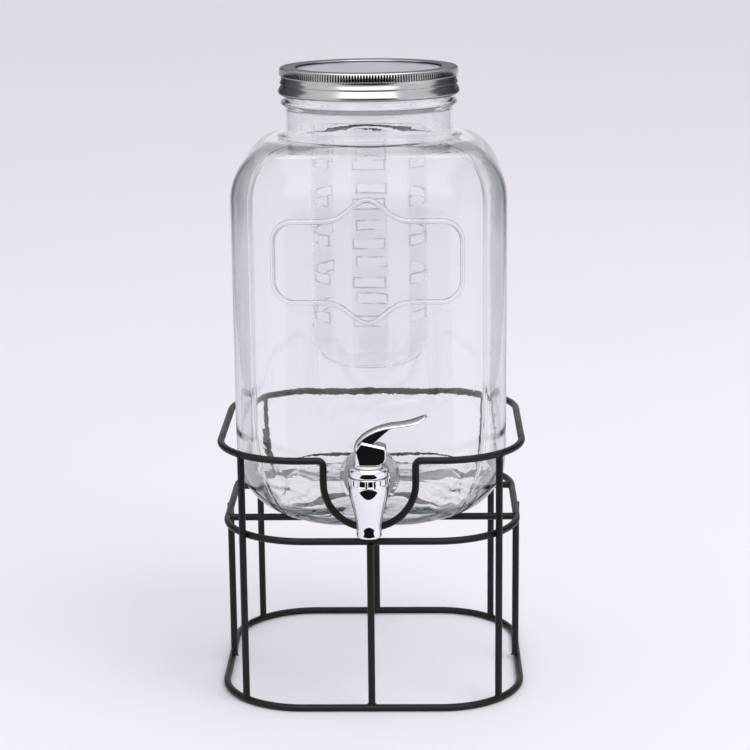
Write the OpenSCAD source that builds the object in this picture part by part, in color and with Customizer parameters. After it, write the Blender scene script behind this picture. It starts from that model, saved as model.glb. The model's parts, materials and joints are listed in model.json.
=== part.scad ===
// Glass drink dispenser: square jar with a screw lid, infuser and lever tap, on a welded wire stand.
// Millimetres. +Z is up, the tap faces -Y, and the origin is on the floor under the jar's axis.

/* [Jar] */
// Width of the jar across its sides
jar_w = 174; // [150:1:200]
// Depth of the jar from its front face to its back face
jar_d = 171; // [150:1:200]
// Radius of the four upright corners
jar_corner_r = 50; // [44:1:58]
// Radius of the rounded shoulder
jar_shoulder_r = 38; // [28:1:40]
// Radius of the rounded bottom edge
jar_base_r = 28; // [24:1:36]
// How far the lower corners are drawn in at the underside
corner_draw = 27; // [18:1:32]
// Height over which the lower corners are drawn in
corner_draw_h = 98; // [80:1:110]
// Height of the body from its underside to the top of the shoulder
jar_body_h = 244; // [225:1:280]
// Thickness of the glass wall
jar_wall = 3.5; // [3:0.1:4.5]
// Thickness of the glass bottom
jar_base_t = 10; // [8:0.5:14]
// Radius of the hollow's bottom edge
cavity_base_r = 24; // [18:1:30]
// Height of the raised ornamental frame above the front face
emboss_h = 0.9; // [0.5:0.1:1.4]
// Width of the raised frame's line
emboss_line = 2; // [1.5:0.1:3]
// Width of the raised frame
emboss_w = 118; // [100:1:118]
// Height of the raised frame without its peaks
emboss_side_h = 52; // [40:1:60]
// Rise of the raised frame's middle peaks
emboss_peak = 13; // [8:0.5:14]
// Height of the raised frame's middle above the jar's underside
emboss_up = 174.8; // [150:0.2:180]
// Radius of the raised frame's corners
emboss_corner_r = 14; // [8:1:18]
// Half width of a peak where it leaves the frame's straight edge
emboss_peak_w = 32; // [24:1:36]

/* [Neck and lid] */
// Outside diameter of the round neck
neck_d = 107; // [100:0.5:108]
// Glass thickness in the neck
neck_wall = 4.2; // [3.6:0.1:5]
// Height of the neck above the shoulder
neck_h = 37; // [34:1:42]
// How far the screw thread stands out from the neck
thread_h = 1.5; // [1:0.1:1.8]
// Rise of the screw thread in one turn
thread_pitch = 6; // [5:0.5:7]
// Turns of the screw thread
thread_turns = 1.5; // [1:0.25:1.75]
// Half height of the screw thread's ridge at its root
thread_ridge = 1.7; // [1.4:0.1:1.9]
// Plain neck between the thread's end and the rim
thread_top_gap = 3; // [2.5:0.1:3.5]
// How far the bead under the lid stands out from the neck
neck_bead_h = 3; // [2:0.1:3.2]
// Half height of the bead under the lid
bead_half_h = 2.6; // [2:0.1:2.8]
// Drop from the foot of the screw band to the middle of that bead
bead_drop = 3.4; // [3:0.1:4]
// Height of the screw band
band_h = 17.2; // [16:0.1:18]
// Sheet thickness of the screw band
band_t = 1.1; // [0.8:0.1:1.3]
// Width of the screw band's top lip
band_lip = 10; // [8:0.5:11]
// Radius of the rolled bead near the foot of the band
band_bead_r = 1.9; // [1.5:0.1:2.2]
// Plain skirt under the rolled bead
band_skirt_h = 2.6; // [2:0.1:3.2]
// Height of the knurled strip at the top of the band
knurl_h = 5; // [4:0.1:6]
// How far the knurled strip stands out from the band
knurl_out = 0.5; // [0.3:0.1:0.8]
// Thickness of the lid disc
disc_t = 0.8; // [0.6:0.1:1.2]
// Thickness of the lid seal
seal_t = 1.2; // [0.8:0.1:1.6]
// Width of the lid seal
seal_w = 5; // [3:0.5:6]

/* [Infuser] */
// Outside diameter of the slotted tube
infuser_d = 73; // [60:1:76]
// Wall of the slotted tube
infuser_wall = 1.5; // [1.2:0.1:2.2]
// Thickness of the flange that lies on the jar's rim
infuser_flange_t = 1.4; // [1:0.1:2]
// Depth from the flange to the bottom of the tube
infuser_depth = 190; // [170:1:200]
// Height of the collar that centres the infuser in the neck
infuser_collar_h = 12; // [8:1:14]
// Height of the taper between collar and tube
infuser_taper_h = 12; // [8:1:14]
// Radius of the tube's rounded bottom edge
infuser_round_r = 14; // [8:1:18]
// Width of a slot around the tube
slot_w = 19; // [14:0.5:22]
// Height of a slot
slot_h = 5.5; // [4:0.5:8]
// Rise from one row of slots to the next
slot_pitch = 25; // [20:0.5:26]
// Height of the lowest row of slots above the bottom of the tube
slot_first = 34; // [32:1:44]
// Rows of slots
slot_rows = 5; // [3:1:5]
// Columns of slots
slot_columns = 6; // [4:1:6]

/* [Stand] */
// Diameter of the wire
wire_d = 4.5; // [3:0.1:5]
// Gap between the jar's side and the top ring's wire
ring_side_gap = 7.5; // [6:0.5:12]
// Gap between the jar's front and the top ring's wire
ring_front_gap = 3.5; // [3:0.5:8]
// How much rounder the ring's corners are than the jar's
ring_corner_extra = 3; // [0:0.5:6]
// Height of the jar's seat above the floor
seat_h = 114.7; // [90:0.5:140]
// Height of the top ring above the middle ring
ring_rise = 53.3; // [48:0.5:60]
// Distance of each crossbar from the middle
crossbar_y = 36; // [26:1:42]
// Gap between the tap's washer and the wire of the dip that lets the tap through
dip_gap = 10.5; // [9:0.5:14]
// Drop from the tap's shank to the middle of the dip's bend
dip_drop = 2.9; // [1:0.1:5]
// Bend radius at the top of the dip
dip_bend_r = 3.5; // [3:0.5:7]
// How deep a welded wire sinks into the wire it meets
weld_depth = 0.5; // [0.3:0.1:0.8]

/* [Tap] */
// Height of the tap's shank above the jar's underside
tap_h = 39.2; // [38:0.2:44]
// Thickness of the flat glass pad under the tap's washer
pad_t = 1; // [0.6:0.1:1.4]
// Width of the pad around the washer
pad_margin = 2.4; // [2.2:0.1:3]
// Reach of the spout's axis from the jar's front face
tap_reach = 27.5; // [26:0.5:34]
// Diameter of the shank through the glass
shank_d = 15; // [13:0.5:16]
// Bore of the shank
shank_bore_d = 9; // [7:0.5:10]
// Diameter of the tap's flange
flange_d = 26; // [24:0.5:28]
// Thickness of the tap's flange
flange_t = 3; // [2:0.2:4]
// Diameter of the rubber washers
gasket_d = 32; // [29:0.5:33]
// Thickness of a rubber washer
gasket_t = 2.6; // [2:0.1:3.2]
// Diameter of the spout's body at its top
spout_top_d = 25; // [24:0.2:27]
// Diameter of the spout at its outlet
spout_end_d = 15.4; // [14.6:0.2:17]
// Diameter of the spout's narrow part
spout_neck_d = 16.8; // [15.6:0.2:18]
// Height of the spout's narrow part
spout_neck_h = 10; // [8:0.5:12]
// Bore of the outlet
outlet_d = 11; // [9:0.5:12]
// Drop from the shank's axis to the spout's outlet
spout_drop = 30.4; // [27:0.2:34]
// Height of the collar at the top of the spout's body
spout_collar_h = 5; // [4:0.2:6]
// Height from the shank to the top of the spout's body
spout_margin = 1; // [0.8:0.1:2]
// Drop from the shank's axis to the valve seat
seat_drop = 8; // [7:0.5:9]
// Diameter of the valve chamber
chamber_d = 17; // [15.5:0.5:18]
// Diameter of the bonnet
bonnet_d = 24.4; // [22:0.2:25]
// Height of the bonnet
bonnet_h = 5.6; // [4.6:0.2:7]
// Depth of the bonnet's plug in the valve chamber
bonnet_plug_h = 3; // [2:0.2:3.4]
// Bevel on the bonnet's edges
bonnet_edge = 0.8; // [0.4:0.1:1.2]
// Diameter of the valve stem
stem_d = 5; // [4.5:0.1:5.5]
// Depth of each flat on the stem's tongue
tongue_flat = 0.7; // [0.5:0.1:0.9]
// Run of those flats inside the bonnet
tongue_run = 2; // [1.8:0.1:3]
// Thickness of the valve seal
valve_seal_t = 3; // [2.4:0.1:3.4]
// Gap between the valve seal and the wall of its chamber
seal_play = 1.4; // [1:0.1:1.6]
// Wire of the valve spring
spring_wire = 0.8; // [0.6:0.1:1]
// Gap between the valve spring and the stem
spring_play = 2.2; // [1.6:0.1:2.4]
// Turns of the valve spring
spring_turns = 3; // [2:1:4]
// Diameter of the cam washer under the lever
cam_washer_d = 16.4; // [15:0.2:19]
// Thickness of the cam washer
cam_washer_t = 1.2; // [0.8:0.1:1.6]
// Diameter of the lock nut behind the glass
nut_d = 25; // [23:0.5:27]
// Thickness of the lock nut
nut_t = 6; // [4:0.5:8]
// Reach of the lock nut's wings from its axis
nut_wing = 15; // [14:0.5:15.5]
// Width of a wing
nut_wing_w = 5; // [4:0.5:8]
// Length of the shank that stands out of the nut
shank_tail = 2; // [1:0.5:4]

/* [Lever] */
// Width of the lever
lever_w = 12; // [11:0.5:14]
// Height of the lever's pivot above the cam washer
pivot_h = 8; // [7.8:0.1:9]
// Diameter of the lever's pin
pin_d = 2.4; // [2:0.1:2.8]
// Wall of the eye around the pin
eye_wall = 2.2; // [1.8:0.1:2.4]
// Reach of the cam foot behind the pivot
foot_left = 7.8; // [7:0.1:8.4]
// Reach of the cam foot in front of the pivot
foot_right = 11; // [10:0.1:11.4]
// Height of the cam foot's nose above the pivot
foot_top = 3.8; // [3:0.1:4.4]
// Radius of the cam foot's rolling corner
foot_corner_r = 5.5; // [5:0.1:6]
// Bevel on the lever's edges
lever_edge = 1; // [0.6:0.1:1.2]
// Radius of the lever's arched back
arch_r = 15; // [14:0.5:17]
// Height of the arch's middle above the pivot
arch_up = 2; // [1:0.5:3]
// How far the arch stands out behind the foot
arch_out = 0.9; // [0.4:0.1:1.4]
// Radius of the hollow under the arm
hollow_r = 28; // [24:1:32]
// Turn of the hollow's arc, from the foot to the paddle
hollow_turn = 42; // [36:1:44]
// Reach at which the arm has thinned to the paddle
paddle_from = 21; // [19:0.5:23]
// Thickness of the lever's paddle
paddle_t = 2.4; // [1.8:0.1:3]
// Rise of the paddle in degrees
paddle_rise = 15; // [10:1:18]
// Reach of the lever's tip from the stem's axis
lever_reach = 37; // [34:0.5:42]

/* [Fits] */
// Gap between pieces that lie loosely on one another
rest_gap = 0.2; // [0.1:0.05:0.3]
// Gap between the lever's foot and the cam washer
cam_gap = 0.3; // [0.2:0.05:0.4]
// Gap beside a piece that slides or turns freely
free_gap = 0.4; // [0.3:0.05:0.6]
// Radial play of a shaft in its hole
running_gap = 0.05; // [0.02:0.01:0.08]
// Radial play of the tap's shank in the glass
glass_gap = 0.8; // [0.5:0.1:1]

/* [Hidden] */

$fn = 64;
overlap = 1;
diagonal = sqrt(0.5);

// Stand: the two large rings are alike, and the middle one lies inside the corner uprights.
wire_r = wire_d / 2;
ring_hw = jar_w / 2 + ring_side_gap + wire_r;
ring_hd = jar_d / 2 + ring_front_gap + wire_r;
ring_r = jar_corner_r + ring_corner_extra;
ring_inset = round((wire_d - weld_depth) * diagonal * 10) / 10;
middle_hw = ring_hw - ring_inset;
middle_hd = ring_hd - ring_inset;
base_z = wire_r;
middle_z = seat_h - wire_r;
top_z = middle_z + ring_rise;
corner_x = ring_hw - ring_r * (1 - diagonal);
corner_y = ring_hd - ring_r * (1 - diagonal);

// Jar
jar_z = seat_h + rest_gap;
shoulder_z = jar_z + jar_body_h;
jar_hw = jar_w / 2;
jar_hd = jar_d / 2;
neck_r = neck_d / 2;
mouth_r = neck_r - neck_wall;
rim_z = shoulder_z + neck_h;
emboss_z = jar_z + emboss_up;
// The walls end this share of the shoulder's radius below its top.
shoulder_share = 0.7;
split_z = shoulder_z - shoulder_share * jar_shoulder_r;
// The lower corners are drawn in along an arc that ends upright, just outside the walls.
draw_reach = norm([jar_hw - jar_corner_r, jar_hd - jar_corner_r]) + jar_corner_r + overlap;
draw_r = (pow(corner_draw, 2) + pow(corner_draw_h, 2)) / (2 * corner_draw);

// Lid, from the rim upwards
flange_z = rim_z + rest_gap;
seal_z = flange_z + infuser_flange_t + rest_gap;
disc_z = seal_z + seal_t;
lip_z = disc_z + disc_t + rest_gap;
lid_top_z = lip_z + band_t;
band_z = lid_top_z - band_h;
band_bore_r = neck_r + thread_h + free_gap;
band_r = band_bore_r + band_t;
disc_r = band_bore_r - free_gap;
infuser_r = infuser_d / 2;
infuser_z = flange_z - infuser_depth;
collar_r = mouth_r - free_gap;
flange_r = neck_r - free_gap;

// Tap
tap_z = jar_z + tap_h;
face_y = -jar_hd;
seat_r = gasket_d / 2 + free_gap;
pad_r = seat_r + pad_margin;
pad_y = face_y - pad_t;
axis_y = face_y - tap_reach;
inside_y = face_y + jar_wall;
flange_y = pad_y - gasket_t;
spout_top_z = tap_z + shank_d / 2 + spout_margin;
spout_end_z = tap_z - spout_drop;
valve_z = tap_z - seat_drop;
hole_r = shank_d / 2 + glass_gap;
nut_y = inside_y + gasket_t;
shank_end_y = nut_y + nut_t + shank_tail;
bonnet_top_z = spout_top_z + bonnet_h;
washer_z = bonnet_top_z + rest_gap;
foot_z = washer_z + cam_washer_t + cam_gap;
pivot_z = washer_z + cam_washer_t + pivot_h;
stem_r = stem_d / 2;
seal_r = chamber_d / 2 - seal_play;
seal_bottom_z = valve_z + rest_gap;
seal_top_z = seal_bottom_z + valve_seal_t;
spring_r = stem_r + spring_play + spring_wire / 2;
spring_low_z = seal_top_z + spring_wire / 2 + rest_gap;
spring_high_z = spout_top_z - bonnet_plug_h - spring_wire / 2 - rest_gap;
tongue_t = stem_d - 2 * tongue_flat;
tongue_r = pin_d / 2 + eye_wall;
arch_x = arch_r - foot_left - arch_out;

// The dip in the top ring goes round the tap.
dip_r = gasket_d / 2 + dip_gap + wire_r;
dip_center_z = tap_z - dip_drop;

// Wire parts

module straight_wire(from, to) {
    run = to - from;
    length = norm(run);
    translate(from)
        rotate([0, acos(run.z / length), atan2(run.y, run.x)])
            cylinder(h = length, r = wire_r);
}

module level_bend(x, y, z, r, start) {
    translate([x, y, z])
        rotate([0, 0, start])
            rotate_extrude(angle = 90)
                translate([r, 0])
                    circle(r = wire_r);
}

module upright_bend(x, y, z, r, start, turn) {
    translate([x, y, z])
        rotate([90, 0, 0])
            rotate([0, 0, start])
                rotate_extrude(angle = turn)
                    translate([r, 0])
                        circle(r = wire_r);
}

// Three sides and four corners of a ring, without its front bar
module open_ring(hw, hd, r, z) {
    for (quarter = [0:3]) {
        side_x = (quarter == 0 || quarter == 3) ? 1 : -1;
        side_y = quarter < 2 ? 1 : -1;
        level_bend(side_x * (hw - r), side_y * (hd - r), z, r, quarter * 90);
    }
    straight_wire([-(hw - r), hd, z], [hw - r, hd, z]);
    for (side = [-1, 1])
        straight_wire([side * hw, -(hd - r), z], [side * hw, hd - r, z]);
}

module closed_ring(hw, hd, r, z) {
    open_ring(hw, hd, r, z);
    straight_wire([-(hw - r), -hd, z], [hw - r, -hd, z]);
}

module base_ring() {
    color("#1b1b1d") closed_ring(ring_hw, ring_hd, ring_r, base_z);
}

module middle_ring() {
    color("#1b1b1d") closed_ring(middle_hw, middle_hd, ring_r, middle_z);
}

module top_ring() {
    color("#1b1b1d") {
        open_ring(ring_hw, ring_hd, ring_r, top_z);
        bend_x = dip_r + dip_bend_r;
        bend_z = top_z - dip_bend_r;
        for (side = [-1, 1]) {
            straight_wire([side * (ring_hw - ring_r), -ring_hd, top_z], [side * bend_x, -ring_hd, top_z]);
            upright_bend(side * bend_x, -ring_hd, bend_z, dip_bend_r, side < 0 ? 0 : 90, 90);
            straight_wire([side * dip_r, -ring_hd, bend_z], [side * dip_r, -ring_hd, dip_center_z]);
        }
        upright_bend(0, -ring_hd, dip_center_z, dip_r, 180, 180);
    }
}

module crossbar(y) {
    reach = middle_hw - wire_r + weld_depth;
    color("#1b1b1d") straight_wire([-reach, y, middle_z], [reach, y, middle_z]);
}

module crossbar_front() {
    crossbar(-crossbar_y);
}

module crossbar_rear() {
    crossbar(crossbar_y);
}

module corner_upright(side_x, side_y) {
    low = base_z + wire_r - weld_depth;
    high = top_z - wire_r + weld_depth;
    foot = [side_x * corner_x, side_y * corner_y, low];
    color("#1b1b1d") straight_wire(foot, [foot.x, foot.y, high]);
}

module upright_front_left() {
    corner_upright(-1, -1);
}

module upright_front_right() {
    corner_upright(1, -1);
}

module upright_back_left() {
    corner_upright(-1, 1);
}

module upright_back_right() {
    corner_upright(1, 1);
}

// A short upright stands between the base ring and the middle ring, half way between their lines.
module side_upright(x, y) {
    sink = weld_depth + wire_r - sqrt(wire_r * wire_r - ring_inset * ring_inset / 4);
    low = base_z + wire_r - sink;
    high = middle_z - wire_r + sink;
    color("#1b1b1d") straight_wire([x, y, low], [x, y, high]);
}

module upright_front() {
    side_upright(0, -(ring_hd + middle_hd) / 2);
}

module upright_back() {
    side_upright(0, (ring_hd + middle_hd) / 2);
}

module upright_left() {
    side_upright(-(ring_hw + middle_hw) / 2, 0);
}

module upright_right() {
    side_upright((ring_hw + middle_hw) / 2, 0);
}

// Jar parts

// Half section of a block's corner, with its lower and upper edges rounded
module corner_section(r, low_r, high_r, low, high) {
    translate([0, low + low_r]) square([r, high - high_r - low - low_r]);
    translate([0, low]) square([r - low_r, low_r]);
    translate([0, high - high_r]) square([r - high_r, high_r]);
    intersection() {
        translate([r - low_r, low + low_r]) circle(r = low_r);
        translate([r - low_r, low]) square(low_r);
    }
    intersection() {
        translate([r - high_r, high - high_r]) circle(r = high_r);
        translate([r - high_r, high - high_r]) square(high_r);
    }
}

module round_block(hw, hd, r, low_r, high_r, low, high) {
    flat_x = hw - r;
    flat_y = hd - r;
    translate([-flat_x, -flat_y, low]) cube([2 * flat_x, 2 * flat_y, high - low]);
    for (flip_x = [0, 1]) {
        mirror([flip_x, 0, 0])
            translate([flat_x, flat_y, 0])
                rotate([90, 0, 0])
                    linear_extrude(2 * flat_y)
                        corner_section(r, low_r, high_r, low, high);
        for (flip_y = [0, 1])
            mirror([flip_x, 0, 0])
                mirror([0, flip_y, 0])
                    translate([flat_x, flat_y, 0])
                        rotate_extrude(angle = 90)
                            corner_section(r, low_r, high_r, low, high);
    }
    for (flip_y = [0, 1])
        mirror([0, flip_y, 0])
            translate([-flat_x, flat_y, 0])
                rotate([90, 0, 90])
                    linear_extrude(2 * flat_x)
                        corner_section(r, low_r, high_r, low, high);
}

// Outline of the bracket frame: a rounded oblong with a swept peak in the middle of its top and bottom.
peak_sweep = 1.35;

function frame_edge(x, hw, hh) =
    let (shoulder = hw - emboss_corner_r)
    abs(x) > shoulder
        ? hh - emboss_corner_r + sqrt(max(0, pow(emboss_corner_r, 2) - pow(abs(x) - shoulder, 2)))
        : hh + emboss_peak * pow(max(0, 1 - abs(x) / emboss_peak_w), peak_sweep);

module frame_outline(grow) {
    hw = emboss_w / 2 + grow;
    hh = emboss_side_h / 2 + grow;
    steps = 24;
    xs = [for (i = [0:steps]) -hw * cos(180 * i / steps)];
    polygon(concat([for (x = xs) [x, frame_edge(x, hw, hh)]],
        [for (i = [steps:-1:0]) [xs[i], -frame_edge(xs[i], hw, hh)]]));
}

module raised_frame() {
    intersection() {
        translate([0, 0, emboss_z])
            rotate([90, 0, 0])
                linear_extrude(jar_hd + 2 * emboss_h)
                    difference() {
                        frame_outline(0);
                        frame_outline(-emboss_line);
                    }
        round_block(jar_hw + emboss_h, jar_hd + emboss_h, jar_corner_r + emboss_h,
            jar_base_r, jar_shoulder_r, jar_z, shoulder_z);
    }
}

// Faces of a closed tube of many-sided rings, numbered ring by ring
function tube_faces(rings, sides) =
    let (last = rings * sides)
    concat(
        [for (i = [0:rings - 1]) for (k = [0:sides - 1])
            let (a = i * sides + k, b = i * sides + (k + 1) % sides)
            each [[a, b, b + sides], [a, b + sides, a + sides]]],
        [for (k = [1:sides - 2]) each [[0, k + 1, k], [last, last + k, last + k + 1]]]);

// The screw thread: a ridge swept along a helix, sunk into the neck and fading out at both ends
module neck_thread() {
    per_turn = 36;
    rings = floor(thread_turns * per_turn);
    low = rim_z - thread_top_gap - thread_turns * thread_pitch;
    root = neck_r - neck_wall / 7;
    crest = [-1, -0.45, 0.45, 1] * thread_ridge;
    sides = len(crest);
    fade_rings = 4;
    function fade(i) = min(1, (min(i, rings - i) + 0.2) / fade_rings);
    function corner(i, k) =
        let (turn = 360 * i / per_turn, out = (k == 1 || k == 2) ? neck_r + thread_h * fade(i) : root)
        [out * cos(turn), out * sin(turn), low + thread_pitch * turn / 360 + crest[k]];
    points = [for (i = [0:rings]) for (k = [0:sides - 1]) corner(i, k)];
    polyhedron(points, tube_faces(rings, sides));
}

module neck_bead() {
    middle = band_z - bead_drop;
    root = mouth_r + overlap;
    side = neck_bead_h * 0.8;
    rotate_extrude()
        polygon([[root, middle - bead_half_h - neck_bead_h / 2], [neck_r, middle - bead_half_h],
            [neck_r + side, middle - bead_half_h / 2], [neck_r + neck_bead_h, middle],
            [neck_r + side, middle + bead_half_h / 2], [neck_r, middle + bead_half_h],
            [root, middle + bead_half_h + neck_bead_h / 2]]);
}

// A round piece on the axis of the tap's shank
module along_shank(from, to, r) {
    translate([0, from, tap_z]) rotate([-90, 0, 0]) cylinder(h = to - from, r = r);
}

// Space outside the bowl that rounds off the jar's lower corners, or outside the hollow of that bowl
module outside_bowl(wall) {
    rotate_extrude()
        difference() {
            translate([draw_reach / 2, jar_z - overlap]) square([draw_reach, corner_draw_h + overlap]);
            translate([draw_reach - draw_r, jar_z + corner_draw_h]) circle(r = draw_r - wall);
        }
}

module jar_outside() {
    difference() {
        round_block(jar_hw, jar_hd, jar_corner_r, jar_base_r, jar_shoulder_r, jar_z, shoulder_z);
        outside_bowl(0);
    }
}

module jar_cavity() {
    difference() {
        round_block(jar_hw - jar_wall, jar_hd - jar_wall, jar_corner_r - jar_wall,
            cavity_base_r, jar_shoulder_r - jar_wall, jar_z + jar_base_t, shoulder_z - jar_wall);
        outside_bowl(jar_wall);
    }
}

// All the space above the level at which the jar's walls meet its shoulder
module above_split() {
    translate([-jar_w, -jar_d, split_z]) cube([2 * jar_w, 2 * jar_d, rim_z]);
}

// The jar's base and walls, with the raised frame, the tap's pad and its hole
module glass_jar() {
    color("#dfe6e6", 0.4)
        difference() {
            union() {
                jar_outside();
                along_shank(pad_y, inside_y, pad_r);
                raised_frame();
            }
            jar_cavity();
            above_split();
            along_shank(pad_y - overlap, inside_y + overlap, hole_r);
            along_shank(inside_y, shank_end_y + overlap, seat_r);
        }
}

// The jar's shoulder and its screw neck
module jar_neck() {
    neck_root_z = shoulder_z - 2 * jar_wall;
    color("#dfe6e6", 0.4)
        difference() {
            union() {
                intersection() {
                    jar_outside();
                    above_split();
                }
                translate([0, 0, neck_root_z]) cylinder(h = rim_z - neck_root_z, r = neck_r);
                neck_bead();
                neck_thread();
            }
            jar_cavity();
            translate([0, 0, neck_root_z - overlap])
                cylinder(h = rim_z - neck_root_z + 2 * overlap, r = mouth_r);
        }
}

// Infuser and lid

// Points along an arc, between two angles
function arc(x, y, r, from, to, steps) =
    [for (i = [0:steps]) let (turn = from + (to - from) * i / steps) [x + r * cos(turn), y + r * sin(turn)]];

module infuser_section() {
    tube_inner = infuser_r - infuser_wall;
    collar_inner = collar_r - infuser_wall;
    collar_z = flange_z - infuser_collar_h;
    tube_top = collar_z - infuser_taper_h;
    round_x = infuser_r - infuser_round_r;
    round_z = infuser_z + infuser_round_r;
    steps = 8;
    polygon(concat(
        [[0, infuser_z]],
        arc(round_x, round_z, infuser_round_r, -90, 0, steps),
        [[infuser_r, tube_top], [collar_r, collar_z], [collar_r, flange_z], [flange_r, flange_z],
            [flange_r, flange_z + infuser_flange_t], [collar_inner, flange_z + infuser_flange_t],
            [collar_inner, collar_z], [tube_inner, tube_top]],
        arc(round_x, round_z, infuser_round_r - infuser_wall, 0, -90, steps),
        [[0, infuser_z + infuser_wall]]));
}

module infuser_tube() {
    color("#eef2f2", 0.5)
        difference() {
            rotate_extrude() infuser_section();
            for (row = [0:slot_rows - 1], column = [0:slot_columns - 1])
                rotate([0, 0, -90 + 360 * column / slot_columns])
                    translate([infuser_r / 2, -slot_w / 2, infuser_z + slot_first + row * slot_pitch])
                        cube([infuser_r, slot_w, slot_h]);
        }
}

module lid_disc() {
    color("#8c9094") translate([0, 0, disc_z]) cylinder(h = disc_t, r = disc_r);
}

module lid_seal() {
    color("#d9dad6")
        translate([0, 0, seal_z])
            difference() {
                cylinder(h = seal_t, r = disc_r);
                translate([0, 0, -overlap]) cylinder(h = seal_t + 2 * overlap, r = disc_r - seal_w);
            }
}

module lid_band() {
    bead_z = band_z + band_skirt_h + band_bead_r;
    color("#b9bdc0")
        rotate_extrude()
            difference() {
                union() {
                    translate([band_bore_r, band_z]) square([band_t, band_h]);
                    translate([band_r - band_lip, lip_z]) square([band_lip, band_t]);
                    translate([band_bore_r, lid_top_z - knurl_h])
                        square([band_t + knurl_out, knurl_h - band_t / 2]);
                    translate([band_bore_r + band_t / 2, bead_z]) circle(r = band_bead_r);
                }
                translate([0, band_z]) square([band_bore_r, lip_z - band_z]);
            }
}

// Tap parts

module tap_body() {
    neck_z = spout_end_z + spout_neck_h;
    collar_z = spout_top_z - spout_collar_h;
    color("#c9cccf")
        difference() {
            union() {
                translate([0, axis_y, 0])
                    rotate_extrude()
                        polygon([[0, spout_end_z], [spout_end_d / 2, spout_end_z],
                            [spout_neck_d / 2, neck_z], [spout_top_d / 2, collar_z],
                            [spout_top_d / 2, spout_top_z], [0, spout_top_z]]);
                along_shank(flange_y - flange_t, flange_y, flange_d / 2);
                along_shank(axis_y, shank_end_y, shank_d / 2);
            }
            translate([0, axis_y, valve_z]) cylinder(h = spout_top_z - valve_z + overlap, d = chamber_d);
            translate([0, axis_y, spout_end_z - overlap])
                cylinder(h = valve_z - spout_end_z + 2 * overlap, d = outlet_d);
            along_shank(axis_y, shank_end_y + overlap, shank_bore_d / 2);
        }
}

module tap_bonnet() {
    outer_r = bonnet_d / 2;
    edge_r = outer_r - bonnet_edge;
    plug_d = chamber_d - 2 * rest_gap;
    plug_z = spout_top_z - bonnet_plug_h;
    color("#c9cccf")
        translate([0, axis_y, 0])
            difference() {
                union() {
                    rotate_extrude()
                        polygon([[0, spout_top_z], [edge_r, spout_top_z],
                            [outer_r, spout_top_z + bonnet_edge], [outer_r, bonnet_top_z - bonnet_edge],
                            [edge_r, bonnet_top_z], [0, bonnet_top_z]]);
                    translate([0, 0, plug_z]) cylinder(h = bonnet_plug_h + overlap, d = plug_d);
                }
                translate([0, 0, plug_z - overlap])
                    cylinder(h = bonnet_h + bonnet_plug_h + 2 * overlap, r = stem_r + running_gap);
            }
}

module gasket(from) {
    color("#e4e6e2", 0.6)
        difference() {
            along_shank(from, from + gasket_t, gasket_d / 2);
            along_shank(from - overlap, from + gasket_t + overlap, shank_d / 2 + rest_gap);
        }
}

module outer_gasket() {
    gasket(flange_y);
}

module inner_gasket() {
    gasket(inside_y);
}

module lock_nut() {
    color("#e8e8e4")
        difference() {
            union() {
                along_shank(nut_y, nut_y + nut_t, nut_d / 2);
                for (side = [-1, 1])
                    translate([side * nut_wing / 2, nut_y + nut_t / 2, tap_z])
                        cube([nut_wing, nut_t, nut_wing_w], center = true);
            }
            along_shank(nut_y - overlap, nut_y + nut_t + overlap, shank_d / 2 + rest_gap);
        }
}

module cam_washer() {
    color("#f2f2f0")
        translate([0, axis_y, washer_z])
            difference() {
                cylinder(h = cam_washer_t, d = cam_washer_d);
                translate([0, 0, -overlap])
                    cylinder(h = cam_washer_t + 2 * overlap, r = stem_r + 2 * running_gap);
            }
}

// The stem runs up through the bonnet. Its top is flattened to a tongue with an eye for the lever's pin.
module valve_stem() {
    eye_r = pin_d / 2 + running_gap;
    flat_z = bonnet_top_z - tongue_run;
    color("#d8dadc")
        translate([0, axis_y, 0])
            difference() {
                union() {
                    translate([0, 0, seal_top_z]) cylinder(h = pivot_z - seal_top_z, r = stem_r);
                    translate([0, tongue_t / 2, pivot_z])
                        rotate([90, 0, 0])
                            cylinder(h = tongue_t, r = tongue_r);
                }
                for (flip = [0, 1])
                    mirror([0, flip, 0])
                        translate([-stem_d, tongue_t / 2, flat_z])
                            cube([2 * stem_d, stem_d, pivot_z - flat_z + overlap]);
                translate([0, tongue_t, pivot_z]) rotate([90, 0, 0]) cylinder(h = 2 * tongue_t, r = eye_r);
            }
}

module valve_seal() {
    color("#9a9d9b")
        translate([0, axis_y, seal_bottom_z]) cylinder(h = valve_seal_t, r = seal_r);
}

// A coil around the stem, from the valve seal to the bonnet
module valve_spring() {
    sides = 6;
    per_turn = 12;
    rings = spring_turns * per_turn;
    rise = spring_high_z - spring_low_z;
    function corner(i, k) =
        let (turn = 360 * i / per_turn, side = 360 * k / sides,
            out = spring_r + spring_wire / 2 * cos(side))
        [out * cos(turn), out * sin(turn), spring_low_z + rise * i / rings + spring_wire / 2 * sin(side)];
    points = [for (i = [0:rings]) for (k = [0:sides - 1]) corner(i, k)];
    color("#b0b3b6") translate([0, axis_y, 0]) polyhedron(points, tube_faces(rings, sides));
}

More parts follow.
